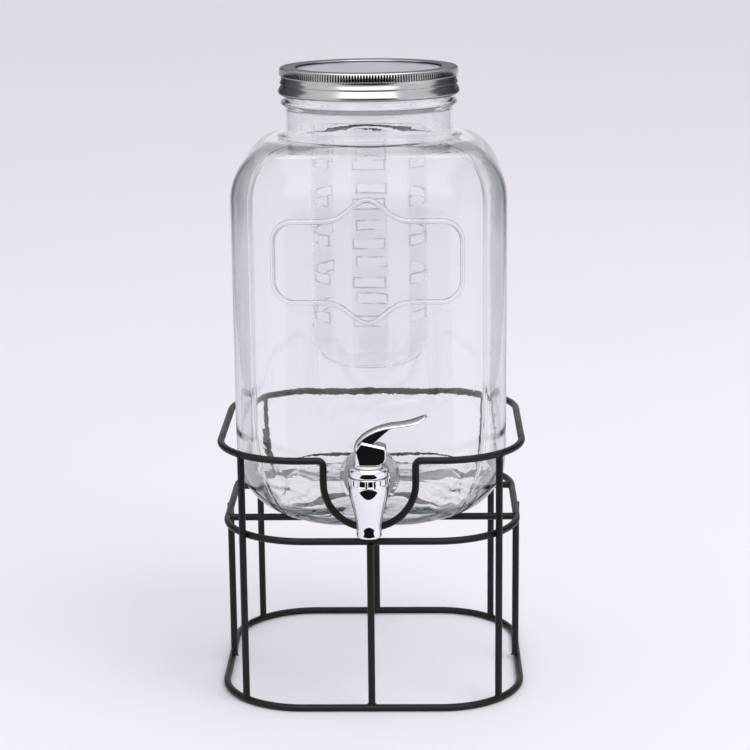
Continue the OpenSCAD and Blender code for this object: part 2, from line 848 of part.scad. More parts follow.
// Side view of the lever about its pivot: a cam foot below, and an arm that arches over to a paddle
module lever_side() {
    foot_low = foot_z - pivot_z;
    arch_end = 90 + paddle_rise;
    arch_top = [arch_x + arch_r * cos(arch_end), arch_up + arch_r * sin(arch_end)];
    function top_at(x) = arch_top.y + (x - arch_top.x) * tan(paddle_rise);
    function under_at(x) = top_at(x) - paddle_t / cos(paddle_rise);
    hollow_x = paddle_from - hollow_r * cos(arch_end);
    hollow_y = under_at(paddle_from) - hollow_r * sin(arch_end);
    polygon(concat(
        [[-foot_left, foot_low]],
        arc(foot_right - foot_corner_r, foot_low + foot_corner_r, foot_corner_r, -90, 0, 8),
        [[foot_right, foot_top - lever_edge], [foot_right - lever_edge, foot_top]],
        arc(hollow_x, hollow_y, hollow_r, arch_end + hollow_turn, arch_end, 8),
        [[lever_reach - lever_edge, under_at(lever_reach - lever_edge)],
            [lever_reach, (top_at(lever_reach) + under_at(lever_reach)) / 2],
            [lever_reach - lever_edge, top_at(lever_reach - lever_edge)]],
        arc(arch_x, arch_up, arch_r, arch_end, 180, 10),
        [[-foot_left, arch_up - foot_left]]));
}

// Plan of the lever, with a round end on the paddle
module lever_plan() {
    tip_r = lever_w / 2;
    back = foot_left + arch_out + overlap;
    translate([-back, -tip_r]) square([back + lever_reach - tip_r, lever_w]);
    translate([lever_reach - tip_r, 0]) circle(r = tip_r);
}

module lever() {
    foot_low = foot_z - pivot_z;
    slot_low = foot_low - overlap;
    slot_left = tongue_r + 2 * free_gap;
    slot_gap = tongue_t + 2 * free_gap;
    color("#c9cccf")
        translate([0, axis_y, pivot_z])
            difference() {
                intersection() {
                    translate([0, lever_w / 2, 0]) rotate([90, 0, 0]) linear_extrude(lever_w) lever_side();
                    translate([0, 0, slot_low]) linear_extrude(2 * lever_reach) lever_plan();
                }
                translate([-slot_left, -slot_gap / 2, slot_low])
                    cube([2 * slot_left, slot_gap, tongue_r + free_gap - slot_low]);
                translate([0, -slot_gap / 2, slot_low]) cube([foot_right + overlap, slot_gap, -slot_low]);
                translate([0, lever_w, 0]) rotate([90, 0, 0]) cylinder(h = 2 * lever_w, d = pin_d);
            }
}

module lever_pin() {
    color("#a9adb1")
        translate([0, axis_y + lever_w / 2 - rest_gap, pivot_z])
            rotate([90, 0, 0])
                cylinder(h = lever_w - 2 * rest_gap, d = pin_d);
}

base_ring();
middle_ring();
top_ring();
crossbar_front();
crossbar_rear();
upright_front_left();
upright_front_right();
upright_back_left();
upright_back_right();
upright_front();
upright_back();
upright_left();
upright_right();
glass_jar();
jar_neck();
infuser_tube();
lid_disc();
lid_seal();
lid_band();
tap_body();
tap_bonnet();
outer_gasket();
inner_gasket();
lock_nut();
cam_washer();
valve_stem();
valve_seal();
valve_spring();
lever();
lever_pin();
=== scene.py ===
"""Glass drink dispenser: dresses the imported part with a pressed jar, turned lid and tap, and welded wire.

Metres throughout. +Z is up, the tap faces -Y, and the origin is on the floor under the jar's axis.
"""
import json
from math import asin, atan2, copysign, cos, degrees, hypot, pi, radians, sin, sqrt

import bpy
import numpy as np
from mathutils import Matrix


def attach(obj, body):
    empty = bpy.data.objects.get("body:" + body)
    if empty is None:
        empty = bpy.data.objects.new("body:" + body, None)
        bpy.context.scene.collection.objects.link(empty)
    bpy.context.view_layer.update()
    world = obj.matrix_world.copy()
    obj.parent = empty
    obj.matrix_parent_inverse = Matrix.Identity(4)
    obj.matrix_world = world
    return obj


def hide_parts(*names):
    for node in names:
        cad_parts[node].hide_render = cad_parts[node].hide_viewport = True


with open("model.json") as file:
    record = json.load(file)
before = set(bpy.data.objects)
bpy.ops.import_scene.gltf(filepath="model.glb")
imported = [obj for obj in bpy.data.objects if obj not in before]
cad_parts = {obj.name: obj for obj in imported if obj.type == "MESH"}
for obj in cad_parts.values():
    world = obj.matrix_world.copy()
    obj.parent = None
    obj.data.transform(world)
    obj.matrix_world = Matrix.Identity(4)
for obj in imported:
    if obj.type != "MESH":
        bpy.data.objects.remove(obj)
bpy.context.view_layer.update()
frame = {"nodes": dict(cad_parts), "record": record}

MM = 0.001

# Jar
JAR_HALF_W = 87 * MM
JAR_HALF_D = 85.5 * MM
CORNER_R = 50 * MM
SHOULDER_R = 38 * MM
ROUNDING_TURN = 58
ROOT_TURN = 88
ROOT_SPREAD = 7 * MM
SHOULDER_DIP = 0.9 * MM
BASE_INSET = 27 * MM
BASE_RISE = 29 * MM
PUNT = 2.2 * MM
PUNT_R = 56 * MM
FOOT_R = 57 * MM
WALL = 3.5 * MM
BASE_T = 10 * MM
FLOOR_INSET = 24 * MM
FLOOR_RISE = 26 * MM
FLOOR_R = 54 * MM
BOWL_END_R = 64 * MM
BOWL_FULL_R = 106 * MM
BOWL_RISE = 110 * MM
JAR_Z = 114.9 * MM
SHOULDER_Z = 358.9 * MM
ROOT_Z = SHOULDER_Z - SHOULDER_R * (1 - sin(radians(ROOT_TURN))) - SHOULDER_DIP
RIM_Z = 395.9 * MM
RIM_ROUND_R = 1.6 * MM
NECK_R = 53.5 * MM
MOUTH_R = 49.3 * MM
NECK_ROOT_R = 58.5 * MM
NECK_FILLET_R = 5 * MM
INNER_FILLET_R = NECK_FILLET_R + WALL
BEAD_Z = 378.8 * MM
BEAD_HALF_H = 3.6 * MM
BEAD_OUT = 3 * MM
THREAD_LOW_Z = 383.9 * MM
THREAD_PITCH = 6 * MM
THREAD_TURNS = 1.5
THREAD_OUT = 1.5 * MM
THREAD_HALF_H = 1.7 * MM
SEAM_OUT = 0.4 * MM
SEAM_HALF_W = 1.8 * MM

# Raised bracket frame on the jar's front
FRAME_Z = 289.7 * MM
FRAME_HALF_W = 58 * MM
FRAME_HALF_H = 25 * MM
FRAME_CORNER_R = 13 * MM
FRAME_PEAK = 13 * MM
FRAME_PEAK_W = 32 * MM
FRAME_SWEEP = 2
# Attribute that masks the painted shade on the frame's flanks
FLANK_SHADE = "flank"

# Infuser
INFUSER_R = 36.5 * MM
INFUSER_Z = 210.6 * MM
INFUSER_WALL = 1.4 * MM
INFUSER_ROUND_R = 14 * MM
TUBE_TOP_Z = 372.1 * MM
COLLAR_Z = 384.1 * MM
COLLAR_R = 48.9 * MM
INFUSER_FLANGE_Z = 396.1 * MM
INFUSER_FLANGE_R = 53.1 * MM
SLOT_LOW = 29.5 * MM
SLOT_PITCH = 25 * MM
SLOT_H = 5.5 * MM
SLOT_ROWS = 5
SLOT_COLUMNS = 6
SLOT_HALF_TURN = 15
SLOT_RIM = 0.9 * MM
SLOT_RIM_TURN = 1.4
PANEL_HALF_TURN = 17.6
PANEL_DEPTH = 0.5 * MM
PANEL_LOW_Z = INFUSER_Z + INFUSER_ROUND_R + 3 * MM
PANEL_HIGH_Z = TUBE_TOP_Z - 8 * MM

# Lid
LID_TOP_Z = 401 * MM
LIP_Z = 399.9 * MM
LIP_R = 46.5 * MM
BAND_BORE_R = 55.4 * MM
BAND_FOOT_Z = 383.8 * MM
KNURL_R = 57 * MM
KNURL_DEPTH = 0.7 * MM
KNURL_TEETH = 200
DISC_R = 55 * MM
DISC_Z = 398.9 * MM
DISC_T = 0.8 * MM

# Tap
TAP_Y = -113 * MM
TAP_Z = 154.1 * MM
PAD_Y = -86.5 * MM
PAD_R = 18.8 * MM
HOLE_R = 8.3 * MM
NUT_SEAT_R = 16.4 * MM
NUT_SEAT_DEPTH = 14 * MM
INSIDE_Y = -82 * MM
FLANGE_Y = -89.1 * MM
FLANGE_T = 3 * MM
FLANGE_R = 13 * MM
GASKET_R = 16 * MM
GASKET_BORE_R = 7.7 * MM
GASKET_T = 2.6 * MM
SHANK_R = 7.5 * MM
SHANK_BORE_R = 4.5 * MM
SHANK_END_Y = -71.4 * MM
CHAMBER_R = 8.5 * MM
SPOUT_TOP_Z = 162.6 * MM
SPOUT_END_Z = 123.7 * MM
SPOUT_R = 12.5 * MM
OUTLET_R = 5.5 * MM
VALVE_Z = 146.1 * MM
FLUTES = 16
FLUTE_DEPTH = 0.4 * MM
FLUTE_LOW_Z = 158.1 * MM
FLUTE_HIGH_Z = 162 * MM
FLUTE_TURN = -83.25
BONNET_BORE_R = 2.55 * MM
BONNET_PLUG_R = 8.3 * MM
BONNET_PLUG_Z = 159.6 * MM
PIVOT_Z = 177.6 * MM

# Wire stand
WIRE_R = 2.25 * MM
MIDDLE_HALF_W = 93.95 * MM
BASE_RING_Z = 2.25 * MM
MIDDLE_RING_Z = 112.45 * MM
TOP_RING_Z = 165.75 * MM
UPRIGHT_X = 81.23 * MM
UPRIGHT_Y = 75.73 * MM
SIDE_UPRIGHT_X = 95.35 * MM
SIDE_UPRIGHT_Y = 89.85 * MM
CROSSBAR_Y = 36 * MM


# Modelling helpers

def set_mode(mode):
    """Go into edit mode, or back to object mode."""
    bpy.ops.object.mode_set(mode=mode)


def deselect_all():
    """Nothing stays selected, so the next primitive is the only thing that an operator meets."""
    bpy.ops.object.select_all(action="DESELECT")


def name_new(name):
    """The object that an operator has just added, under its own name."""
    piece = bpy.context.active_object
    piece.name = name
    piece.data.name = name
    return piece


def make_only(piece):
    """Select one piece alone and make it the active one."""
    deselect_all()
    piece.select_set(True)
    bpy.context.view_layer.objects.active = piece


def select_where(piece, wanted, faces=False):
    """Enter edit mode with the vertices, or the faces, selected whose place passes the test."""
    set_mode("EDIT")
    bpy.ops.mesh.select_mode(type="FACE" if faces else "VERT")
    bpy.ops.mesh.select_all(action="DESELECT")
    set_mode("OBJECT")
    for element in piece.data.polygons if faces else piece.data.vertices:
        element.select = wanted(element.center if faces else element.co)
    set_mode("EDIT")


def press_in(piece, wanted, r, depth, centre=(0, 0, 0)):
    """Press the points that pass the test inwards by a depth, from a radius round an upright axis."""
    select_where(piece, wanted)
    inward = (r - depth) / r
    bpy.ops.transform.resize(value=(inward, inward, 1), center_override=centre)
    set_mode("OBJECT")


def close_up():
    """Merge the doubles of the mesh in edit mode and turn its faces outwards."""
    bpy.ops.mesh.select_all(action="SELECT")
    bpy.ops.mesh.remove_doubles(threshold=1e-6)
    bpy.ops.mesh.normals_make_consistent(inside=False)


def smooth(piece, angle):
    """Leave edit mode and shade round, with edges sharper than the angle kept crisp."""
    if bpy.context.mode == "EDIT_MESH":
        set_mode("OBJECT")
    make_only(piece)
    bpy.ops.object.shade_smooth_by_angle(angle=radians(angle))


def apply_modifier(piece, kind, **settings):
    """Add a modifier with these settings and apply it at once."""
    make_only(piece)
    modifier = piece.modifiers.new(kind.lower(), kind)
    for setting, value in settings.items():
        setattr(modifier, setting, value)
    bpy.ops.object.modifier_apply(modifier=modifier.name)


def round_edges(piece, width, angle):
    """Bevel the edges of a piece that are sharper than the angle."""
    apply_modifier(piece, "BEVEL", width=width, segments=2, limit_method="ANGLE",
        angle_limit=radians(angle))


def arc(x, y, r, start, end, steps):
    """Points along an arc between two angles in degrees."""
    turns = [radians(start + (end - start) * i / steps) for i in range(steps + 1)]
    return [(x + r * cos(turn), y + r * sin(turn)) for turn in turns]


def spread(start, end, step):
    """Evenly spaced values from start up to, but not including, end."""
    count = max(1, round(abs(end - start) / step))
    return [start + (end - start) * i / count for i in range(count)]


def near(r, place, points):
    """Profile points given in millimetres from a radius and from a place along the axis."""
    return [(r + out * MM, place + along * MM) for out, along in points]


def through(points, count):
    """A smooth curve of so many points that passes through a few given ones."""
    points = np.array(points, float)
    ends = np.concatenate([[2 * points[0] - points[1]], points, [2 * points[-1] - points[-2]]])
    spots = []
    for place in np.linspace(0, len(points) - 1, count):
        i = min(int(place), len(points) - 2)
        t = place - i
        a, b, c, d = ends[i:i + 4]
        spots.append(b + t / 2 * (c - a + t * (2 * a - 5 * b + 4 * c - d + t * (3 * b - 3 * c + d - a))))
    return np.array(spots)


def start_line(name, point):
    """A new mesh of one vertex at the point, in edit mode: a plane collapsed to its centre."""
    deselect_all()
    bpy.ops.mesh.primitive_plane_add(size=2 * MM, location=(0, 0, 0))
    piece = name_new(name)
    set_mode("EDIT")
    bpy.ops.mesh.select_all(action="SELECT")
    bpy.ops.mesh.merge(type="CENTER")
    bpy.ops.transform.translate(value=point)
    return piece


def draw_line(name, points):
    """A chain of edges through the points, drawn by extruding one vertex along them."""
    piece = start_line(name, points[0])
    for here, there in zip(points, points[1:]):
        step = tuple(b - a for a, b in zip(here, there))
        bpy.ops.mesh.extrude_region_move(TRANSFORM_OT_translate={"value": step})
    return piece


def turned(name, profile, steps, upright=True, centre=(0, 0, 0), closed=True):
    """A profile of (radius, place) points spun round an upright axis, or round one along Y."""
    x, y, z = centre
    if upright:
        points = [(x + r, y, z + place) for r, place in profile]
        axis = (0, 0, 1)
    else:
        points = [(x + r, y + place, z) for r, place in profile]
        axis = (0, 1, 0)
    if closed:
        points.append(points[0])
    piece = draw_line(name, points)
    bpy.ops.mesh.select_all(action="SELECT")
    bpy.ops.mesh.spin(steps=steps, angle=2 * pi, center=centre, axis=axis)
    close_up()
    set_mode("OBJECT")
    return piece


def wrapped(name, place):
    """A grid bent to an array of places (rows, columns, xyz), its meeting rows and columns merged."""
    rows, columns = place.shape[:2]
    deselect_all()
    bpy.ops.mesh.primitive_grid_add(x_subdivisions=columns - 1, y_subdivisions=rows - 1, size=1)
    piece = name_new(name)
    piece.data.vertices.foreach_set("co", place.reshape(-1))
    piece.data.update()
    set_mode("EDIT")
    close_up()
    set_mode("OBJECT")
    return piece


def slab(name, outline, low_y, high_y):
    """An outline of (x, z) points filled and extruded along Y."""
    points = [(x, low_y, z) for x, z in outline]
    piece = draw_line(name, points + points[:1])
    bpy.ops.mesh.select_all(action="SELECT")
    bpy.ops.mesh.remove_doubles(threshold=1e-6)
    bpy.ops.mesh.edge_face_add()
    bpy.ops.mesh.extrude_region_move(TRANSFORM_OT_translate={"value": (0, high_y - low_y, 0)})
    close_up()
    set_mode("OBJECT")
    return piece


def combine(piece, cutter, operation):
    """Add a second piece to the first, or cut it out of it, and remove it."""
    apply_modifier(piece, "BOOLEAN", object=cutter, operation=operation, solver="EXACT")
    bpy.data.objects.remove(cutter)


def join(name, pieces):
    """Several meshes as one object."""
    make_only(pieces[0])
    for piece in pieces[1:]:
        piece.select_set(True)
    bpy.ops.object.join()
    return name_new(name)


# Glass jar

def corner_turns(start, step):
    """Turns round one corner in degrees, closer together along the mould seam on its diagonal."""
    by_seam = [degrees(off * MM / CORNER_R) for off in (2.6, 1.7, 1.1, 0.55, 0)]
    half = spread(0, 45 - by_seam[0], step) + [45 - turn for turn in by_seam]
    return [start + turn for turn in half] + [start + 90 - turn for turn in reversed(half[1:-1])]


def jar_columns():
    """Corner centres and outward turns of the jar's columns, once round from the back's middle."""
    flat_x = JAR_HALF_W - CORNER_R
    flat_y = JAR_HALF_D - CORNER_R
    coarse = 4 * MM
    columns = [(x, flat_y, 90) for x in spread(0, -flat_x, coarse)]
    columns += [(-flat_x, flat_y, turn) for turn in corner_turns(90, 4)]
    columns += [(-flat_x, y, 180) for y in spread(flat_y, -flat_y, coarse)]
    columns += [(-flat_x, -flat_y, turn) for turn in corner_turns(180, 2.5)]
    columns += [(x, -flat_y, 270) for x in spread(-flat_x, flat_x, coarse)]
    columns += [(flat_x, -flat_y, turn) for turn in corner_turns(270, 2.5)]
    columns += [(flat_x, y, 0) for y in spread(-flat_y, flat_y, coarse)]
    columns += [(flat_x, flat_y, turn) for turn in corner_turns(0, 4)]
    columns += [(x, flat_y, 90) for x in spread(flat_x, 0, coarse)]
    columns.append((0, flat_y, 90))
    return np.array(columns)


def bend(turn, depth):
    """Inset and height of the shoulder's bend at a turn from upright, at a depth inside the glass."""
    bend_r = SHOULDER_R - depth
    inset = depth + bend_r * (1 - cos(radians(turn)))
    z = SHOULDER_Z - depth - bend_r * (1 - sin(radians(turn)))
    return inset, z


def shoulder_rows(depth, root_r, kind):
    """Rows in which the square outline turns into the neck's round one, at a depth inside the glass."""
    rows = []
    for blend in np.linspace(0, 1, 10):
        inset, z = bend(ROUNDING_TURN + (ROOT_TURN - ROUNDING_TURN) * blend, depth)
        round_r = root_r + ROOT_SPREAD * (1 - blend)
        rows.append((inset, round_r, blend ** 1.3, z - SHOULDER_DIP * blend, kind))
    return rows


def outside_rows():
    """Rows from the middle of the underside up the outside to the neck's root."""
    rows = []
    for r in (0, 10, 20, 30, 40, 48):
        rows.append((0, r * MM, 1, JAR_Z + PUNT * (1 - (r * MM / PUNT_R) ** 2), "base"))
    for roundness in (0.75, 0.4, 0.1):
        rows.append((BASE_INSET, FOOT_R, roundness, JAR_Z + 0.4 * MM * roundness, "base"))
    for inward, up in arc(0, 0, 1, 270, 180, 20):
        rows.append((BASE_INSET * (1 + inward), 0, 0, JAR_Z + BASE_RISE * (1 + up), "wall"))
    for z in spread(JAR_Z + BASE_RISE + 3 * MM, SHOULDER_Z - SHOULDER_R, 4 * MM):
        rows.append((0, 0, 0, z, "wall"))
    for turn in spread(0, ROUNDING_TURN, 4):
        inset, z = bend(turn, 0)
        rows.append((inset, 0, 0, z, "wall"))
    return rows + shoulder_rows(0, NECK_ROOT_R, "shoulder")


def neck_rows():
    """Rows from the neck's root over the bead and the thread, round the rim and down the mouth."""
    fillet_z = ROOT_Z + NECK_FILLET_R
    rows = [(0, r, 1, z, "neck") for r, z in arc(NECK_ROOT_R, fillet_z, NECK_FILLET_R, 270, 180, 6)[1:]]
    for z in spread(ROOT_Z + 7 * MM, BEAD_Z - BEAD_HALF_H, 2.5 * MM):
        rows.append((0, NECK_R, 1, z, "neck"))
    for z in spread(BEAD_Z - BEAD_HALF_H, BEAD_Z + BEAD_HALF_H, 0.5 * MM):
        out = BEAD_OUT * cos(pi / 2 * (z - BEAD_Z) / BEAD_HALF_H) ** 1.5
        rows.append((0, NECK_R + out, 1, z, "neck"))
    rim_z = RIM_Z - RIM_ROUND_R
    for z in spread(BEAD_Z + BEAD_HALF_H, rim_z, 0.7 * MM):
        rows.append((0, NECK_R, 1, z, "thread"))
    for r, z in arc(NECK_R - RIM_ROUND_R, rim_z, RIM_ROUND_R, 0, 90, 5):
        rows.append((0, r, 1, z, "rim"))
    for r, z in arc(MOUTH_R + RIM_ROUND_R, rim_z, RIM_ROUND_R, 90, 180, 5):
        rows.append((0, r, 1, z, "rim"))
    for z in spread(RIM_Z - 4 * MM, fillet_z, 4 * MM):
        rows.append((0, MOUTH_R, 1, z, "inside"))
    for r, z in arc(MOUTH_R + INNER_FILLET_R, fillet_z, INNER_FILLET_R, 180, 270, 8):
        rows.append((0, r, 1, z, "inside"))
    return rows


def inside_rows():
    """Rows from the neck's root down the inside of the walls to the middle of the floor."""
    floor_z = JAR_Z + BASE_T
    rows = shoulder_rows(WALL, MOUTH_R + INNER_FILLET_R, "inside")[-2::-1]
    for turn in spread(54, 0, 4):
        inset, z = bend(turn, WALL)
        rows.append((inset, 0, 0, z, "inside"))
    for z in spread(SHOULDER_Z - SHOULDER_R, floor_z + FLOOR_RISE + 2 * MM, 4 * MM):
        rows.append((WALL, 0, 0, z, "inside"))
    for inward, up in arc(0, 0, 1, 180, 270, 18):
        rows.append((WALL + FLOOR_INSET * (1 + inward), 0, 0, floor_z + FLOOR_RISE * (1 + up), "floor"))
    for roundness in (0.3, 0.7):
        rows.append((WALL + FLOOR_INSET, FLOOR_R, roundness, floor_z, "floor"))
    for r in (48, 40, 32, 24, 16, 8, 0):
        rows.append((0, r * MM, 1, floor_z, "floor"))
    return rows


def jar_rows():
    """All rows of the glass, from the middle of its underside, over the rim, to the middle of its floor.

    Each is (inset from the square outline, radius of the round one, roundness from 0 to 1, height, kind).
    """
    return outside_rows() + neck_rows() + inside_rows()


def ripple(place, size, seed):
    """Smooth unevenness between about -1 and 1, with waves of the given size."""
    x, y, z = (place[..., axis] / size for axis in range(3))
    a = np.sin(1.7 * x + 0.9 * y + seed) * np.cos(1.3 * z - 0.6 * x + 2 * seed)
    b = np.sin(2.3 * y - 1.1 * z + 3 * seed) * np.cos(2.1 * x + 0.8 * y - seed)
    return (a + b) / 2


def bowl_r(z):
    """Radius of the bowl that rounds off the corners of the jar's lower part."""
    share = min(1, max(0, (z - JAR_Z) / BOWL_RISE))
    return BOWL_END_R + (BOWL_FULL_R - BOWL_END_R) * sqrt(1 - (1 - share) ** 2)


def within(level, limit):
    """A level outline drawn in softly where it goes past a radius."""
    softness = 60
    past = np.hypot(level[:, 0], level[:, 1]) / limit
    return level * ((1 + past ** softness) ** (-1 / softness))[:, None]


def frame_line():
    """Points once round the raised frame: a rounded oblong with a swept peak amid its top and bottom."""
    corner_x = FRAME_HALF_W - FRAME_CORNER_R
    corner_z = FRAME_HALF_H - FRAME_CORNER_R
    quarter = [(FRAME_HALF_W, z) for z in spread(0, corner_z, 3 * MM)]
    quarter += arc(corner_x, corner_z, FRAME_CORNER_R, 0, 90, 10)
    for x in spread(corner_x, 0, 1.5 * MM)[1:] + [0]:
        swell = (1 + cos(pi * min(1, x / FRAME_PEAK_W))) / 2
        quarter.append((x, FRAME_HALF_H + FRAME_PEAK * swell ** FRAME_SWEEP))
    quarter = np.array(quarter)
    top = np.concatenate([quarter, quarter[-2::-1] * (-1, 1)])
    return np.concatenate([top, top[-2::-1] * (1, -1)])


def on_front(x, z):
    """The point of the jar's front skin at a place seen from the front, and the direction that it faces."""
    past = max(0, abs(x) - (JAR_HALF_W - CORNER_R))
    turn = asin(past / CORNER_R)
    tilt = asin(max(0, z - SHOULDER_Z + SHOULDER_R) / SHOULDER_R)
    outward = np.array([copysign(sin(turn), x), -cos(turn), 0])
    spot = np.array([x, CORNER_R - JAR_HALF_D - CORNER_R * cos(turn), z])
    spot -= SHOULDER_R * (1 - cos(tilt)) * outward
    return spot, cos(tilt) * outward + np.array([0, 0, sin(tilt)])


def frame_bead():
    """The raised frame: a rounded bead swept along its line over the jar's front, sunk a little into it."""
    section = [(-1.8, -1), (-1.7, -0.1), (-1.45, 0.6), (-1, 1.15), (-0.45, 1.45)]
    section += [(-across, out) for across, out in reversed(section)]
    on_line = [on_front(x, FRAME_Z + z) for x, z in frame_line()[:-1]]
    spots, facing = (np.array(values) for values in zip(*on_line))
    ahead = np.roll(spots, -1, axis=0) - spots
    ahead /= np.linalg.norm(ahead, axis=1)[:, None]
    behind = np.roll(ahead, 1, axis=0)
    along = ahead + behind
    along /= np.linalg.norm(along, axis=1)[:, None]
    mitre = np.sqrt(2 / (1 + np.sum(ahead * behind, axis=1)))
    side = np.cross(along, facing) * mitre[:, None]
    rings = [spots + side * across * MM + facing * out * MM for across, out in section + section[:1]]
    place = np.stack(rings, axis=1)
    bead = wrapped("frame_bead", np.concatenate([place, place[:1]]))
    mark_flank_shade(bead)
    return bead


def mark_flank_shade(bead):
    """Mark the frame's flanks, low on the bead, with an attribute that fades out towards its crest: the
    mask of the painted shade on the flanks.
    """
    low, high = 0.5 * MM, 1.3 * MM
    flank = bead.data.attributes.new(FLANK_SHADE, "FLOAT", "CORNER")
    for i, loop in enumerate(bead.data.loops):
        place = np.array(bead.data.vertices[loop.vertex_index].co)
        spot, facing = on_front(place[0], place[2])
        flank.data[i].value = np.interp(np.dot(place - spot, facing), [low, high], [1, 0])


def add_thread(level, around, polar, z):
    """A level row of the neck, bulged where the screw thread passes its height."""
    lap = (polar % (2 * pi)) / (2 * pi)
    for run in (lap, lap + 1):
        off = np.abs(z - THREAD_LOW_Z - THREAD_PITCH * run) / THREAD_HALF_H
        fade = np.clip(np.minimum(run, THREAD_TURNS - run) * 9, 0, 1)
        level = level + around * (THREAD_OUT * fade * np.clip(1.35 - 1.35 * off, 0, 1))[:, None]
    return level


def jar_skin():
    """The glass as a grid wrapped round the square body and the round neck, inside and out."""
    columns = jar_columns()
    rows = jar_rows()
    turn = np.radians(columns[:, 2])
    facing = np.stack([np.cos(turn), np.sin(turn)], axis=1)
    square = columns[:, :2] + CORNER_R * facing
    polar = np.arctan2(square[:, 1], square[:, 0])
    around = np.stack([np.cos(polar), np.sin(polar)], axis=1)
    off_seam = CORNER_R * np.radians(np.abs(columns[:, 2] % 90 - 45))
    seam = SEAM_OUT * np.cos(pi / 2 * np.minimum(1, off_seam / SEAM_HALF_W)) ** 2 * (columns[:, 1] < 0)
    place = np.zeros((len(rows), len(columns), 3))
    for i, (inset, round_r, roundness, z, kind) in enumerate(rows):
        level = (1 - roundness) * (square - inset * facing) + roundness * round_r * around
        if kind in ("base", "wall"):
            level = within(level, bowl_r(z))
        if kind in ("inside", "floor"):
            level = within(level, bowl_r(z) - WALL)
        if kind == "thread":
            level = add_thread(level, around, polar, z)
        if kind in ("wall", "shoulder"):
            level = level + facing * (seam * (1 - roundness))[:, None]
        place[i, :, :2] = level
        place[i, :, 2] = z
        if kind == "inside":
            place[i, :, :2] += around * (0.07 * MM * ripple(place[i], 16 * MM, 0.4))[:, None]
        if kind == "floor":
            place[i, :, 2] += 0.55 * MM * ripple(place[i], 9 * MM, 1.1)
    place[:, -1] = place[:, 0]
    place[0] = place[0].mean(axis=0)
    place[-1] = place[-1].mean(axis=0)
    return wrapped("jar_glass_body", place)


def glass_jar():
    """The pressed jar, with a pad and a hole for the tap and the raised frame."""
    jar = jar_skin()
    centre = (0, 0, TAP_Z)
    pad_y = INSIDE_Y - 2 * MM
    outline = [(0, pad_y), (PAD_R, pad_y)] + near(PAD_R, PAD_Y, [(0, 0.5), (-0.15, 0.15), (-0.5, 0)])
    combine(jar, turned("pad", outline + [(0, PAD_Y)], 96, upright=False, centre=centre), "UNION")
    front_y = PAD_Y - 5 * MM
    seat_y = INSIDE_Y + NUT_SEAT_DEPTH
    outline = [(0, front_y), (HOLE_R, front_y), (HOLE_R, INSIDE_Y), (NUT_SEAT_R, INSIDE_Y)]
    outline += [(NUT_SEAT_R, seat_y), (0, seat_y)]
    combine(jar, turned("hole", outline, 64, upright=False, centre=centre), "DIFFERENCE")
    combine(jar, frame_bead(), "UNION")
    smooth(jar, 40)
    return jar


# Infuser

def column_turn(place):
    """Degrees from a point to the middle of the nearest column of slots."""
    step = 360 / SLOT_COLUMNS
    turn = (degrees(atan2(place.y, place.x)) + 90) % step
    return min(turn, step - turn)


def infuser_profile():
    """The tube's outline from the middle of its bottom up to the edge of its flange."""
    slot_edges = []
    for row in range(SLOT_ROWS):
        low = INFUSER_Z + SLOT_LOW + row * SLOT_PITCH
        slot_edges += [low, low + 0.8 * MM, low + SLOT_H - 0.8 * MM, low + SLOT_H]
        slot_edges += spread(low + SLOT_H + 5 * MM, low + SLOT_PITCH, 6 * MM)
    profile = near(0, INFUSER_Z, [(0, 1.2), (8, 1.08), (15, 0.48)])
    profile += arc(INFUSER_R - INFUSER_ROUND_R, INFUSER_Z + INFUSER_ROUND_R, INFUSER_ROUND_R, -90, 0, 12)
    profile += near(INFUSER_R, PANEL_LOW_Z, [(0, -1), (0, 0), (0, 8)])
    profile += [(INFUSER_R, z) for z in slot_edges if z < PANEL_HIGH_Z - 1 * MM]
    profile += near(INFUSER_R, PANEL_HIGH_Z, [(0, 0), (0, 1)])
    profile += near(INFUSER_R, TUBE_TOP_Z, [(0, -3), (0.4, -0.8), (1.2, 1)])
    profile += near(COLLAR_R, COLLAR_Z, [(-1.2, -1.1), (-0.3, 0.5), (0, 2)])
    profile += near(COLLAR_R, INFUSER_FLANGE_Z, [(0, -0.6), (0.2, -0.15), (0.7, 0)])
    return profile + near(INFUSER_FLANGE_R, INFUSER_FLANGE_Z, [(-1, 0), (0, 0)])


def infuser():
    """The clear tube: one skin spun up from its bottom, with slots cut out, then given its wall."""
    tube = turned("infuser_clear", infuser_profile(), 144, closed=False)

    def in_slot(centre):
        row, up = divmod(centre.z - INFUSER_Z - SLOT_LOW, SLOT_PITCH)
        return 0 <= row < SLOT_ROWS and up < SLOT_H and column_turn(centre) < SLOT_HALF_TURN

    def in_panel(place):
        at_height = PANEL_LOW_Z - 0.1 * MM < place.z < PANEL_HIGH_Z + 0.1 * MM
        return at_height and column_turn(place) < PANEL_HALF_TURN

    select_where(tube, in_slot, faces=True)
    bpy.ops.mesh.delete(type="FACE")
    set_mode("OBJECT")
    press_in(tube, in_panel, INFUSER_R, PANEL_DEPTH)
    apply_modifier(tube, "SOLIDIFY", thickness=INFUSER_WALL, offset=-1, use_even_offset=True)
    round_edges(tube, 0.3 * MM, 50)
    smooth(tube, 40)
    return tube


# Lid

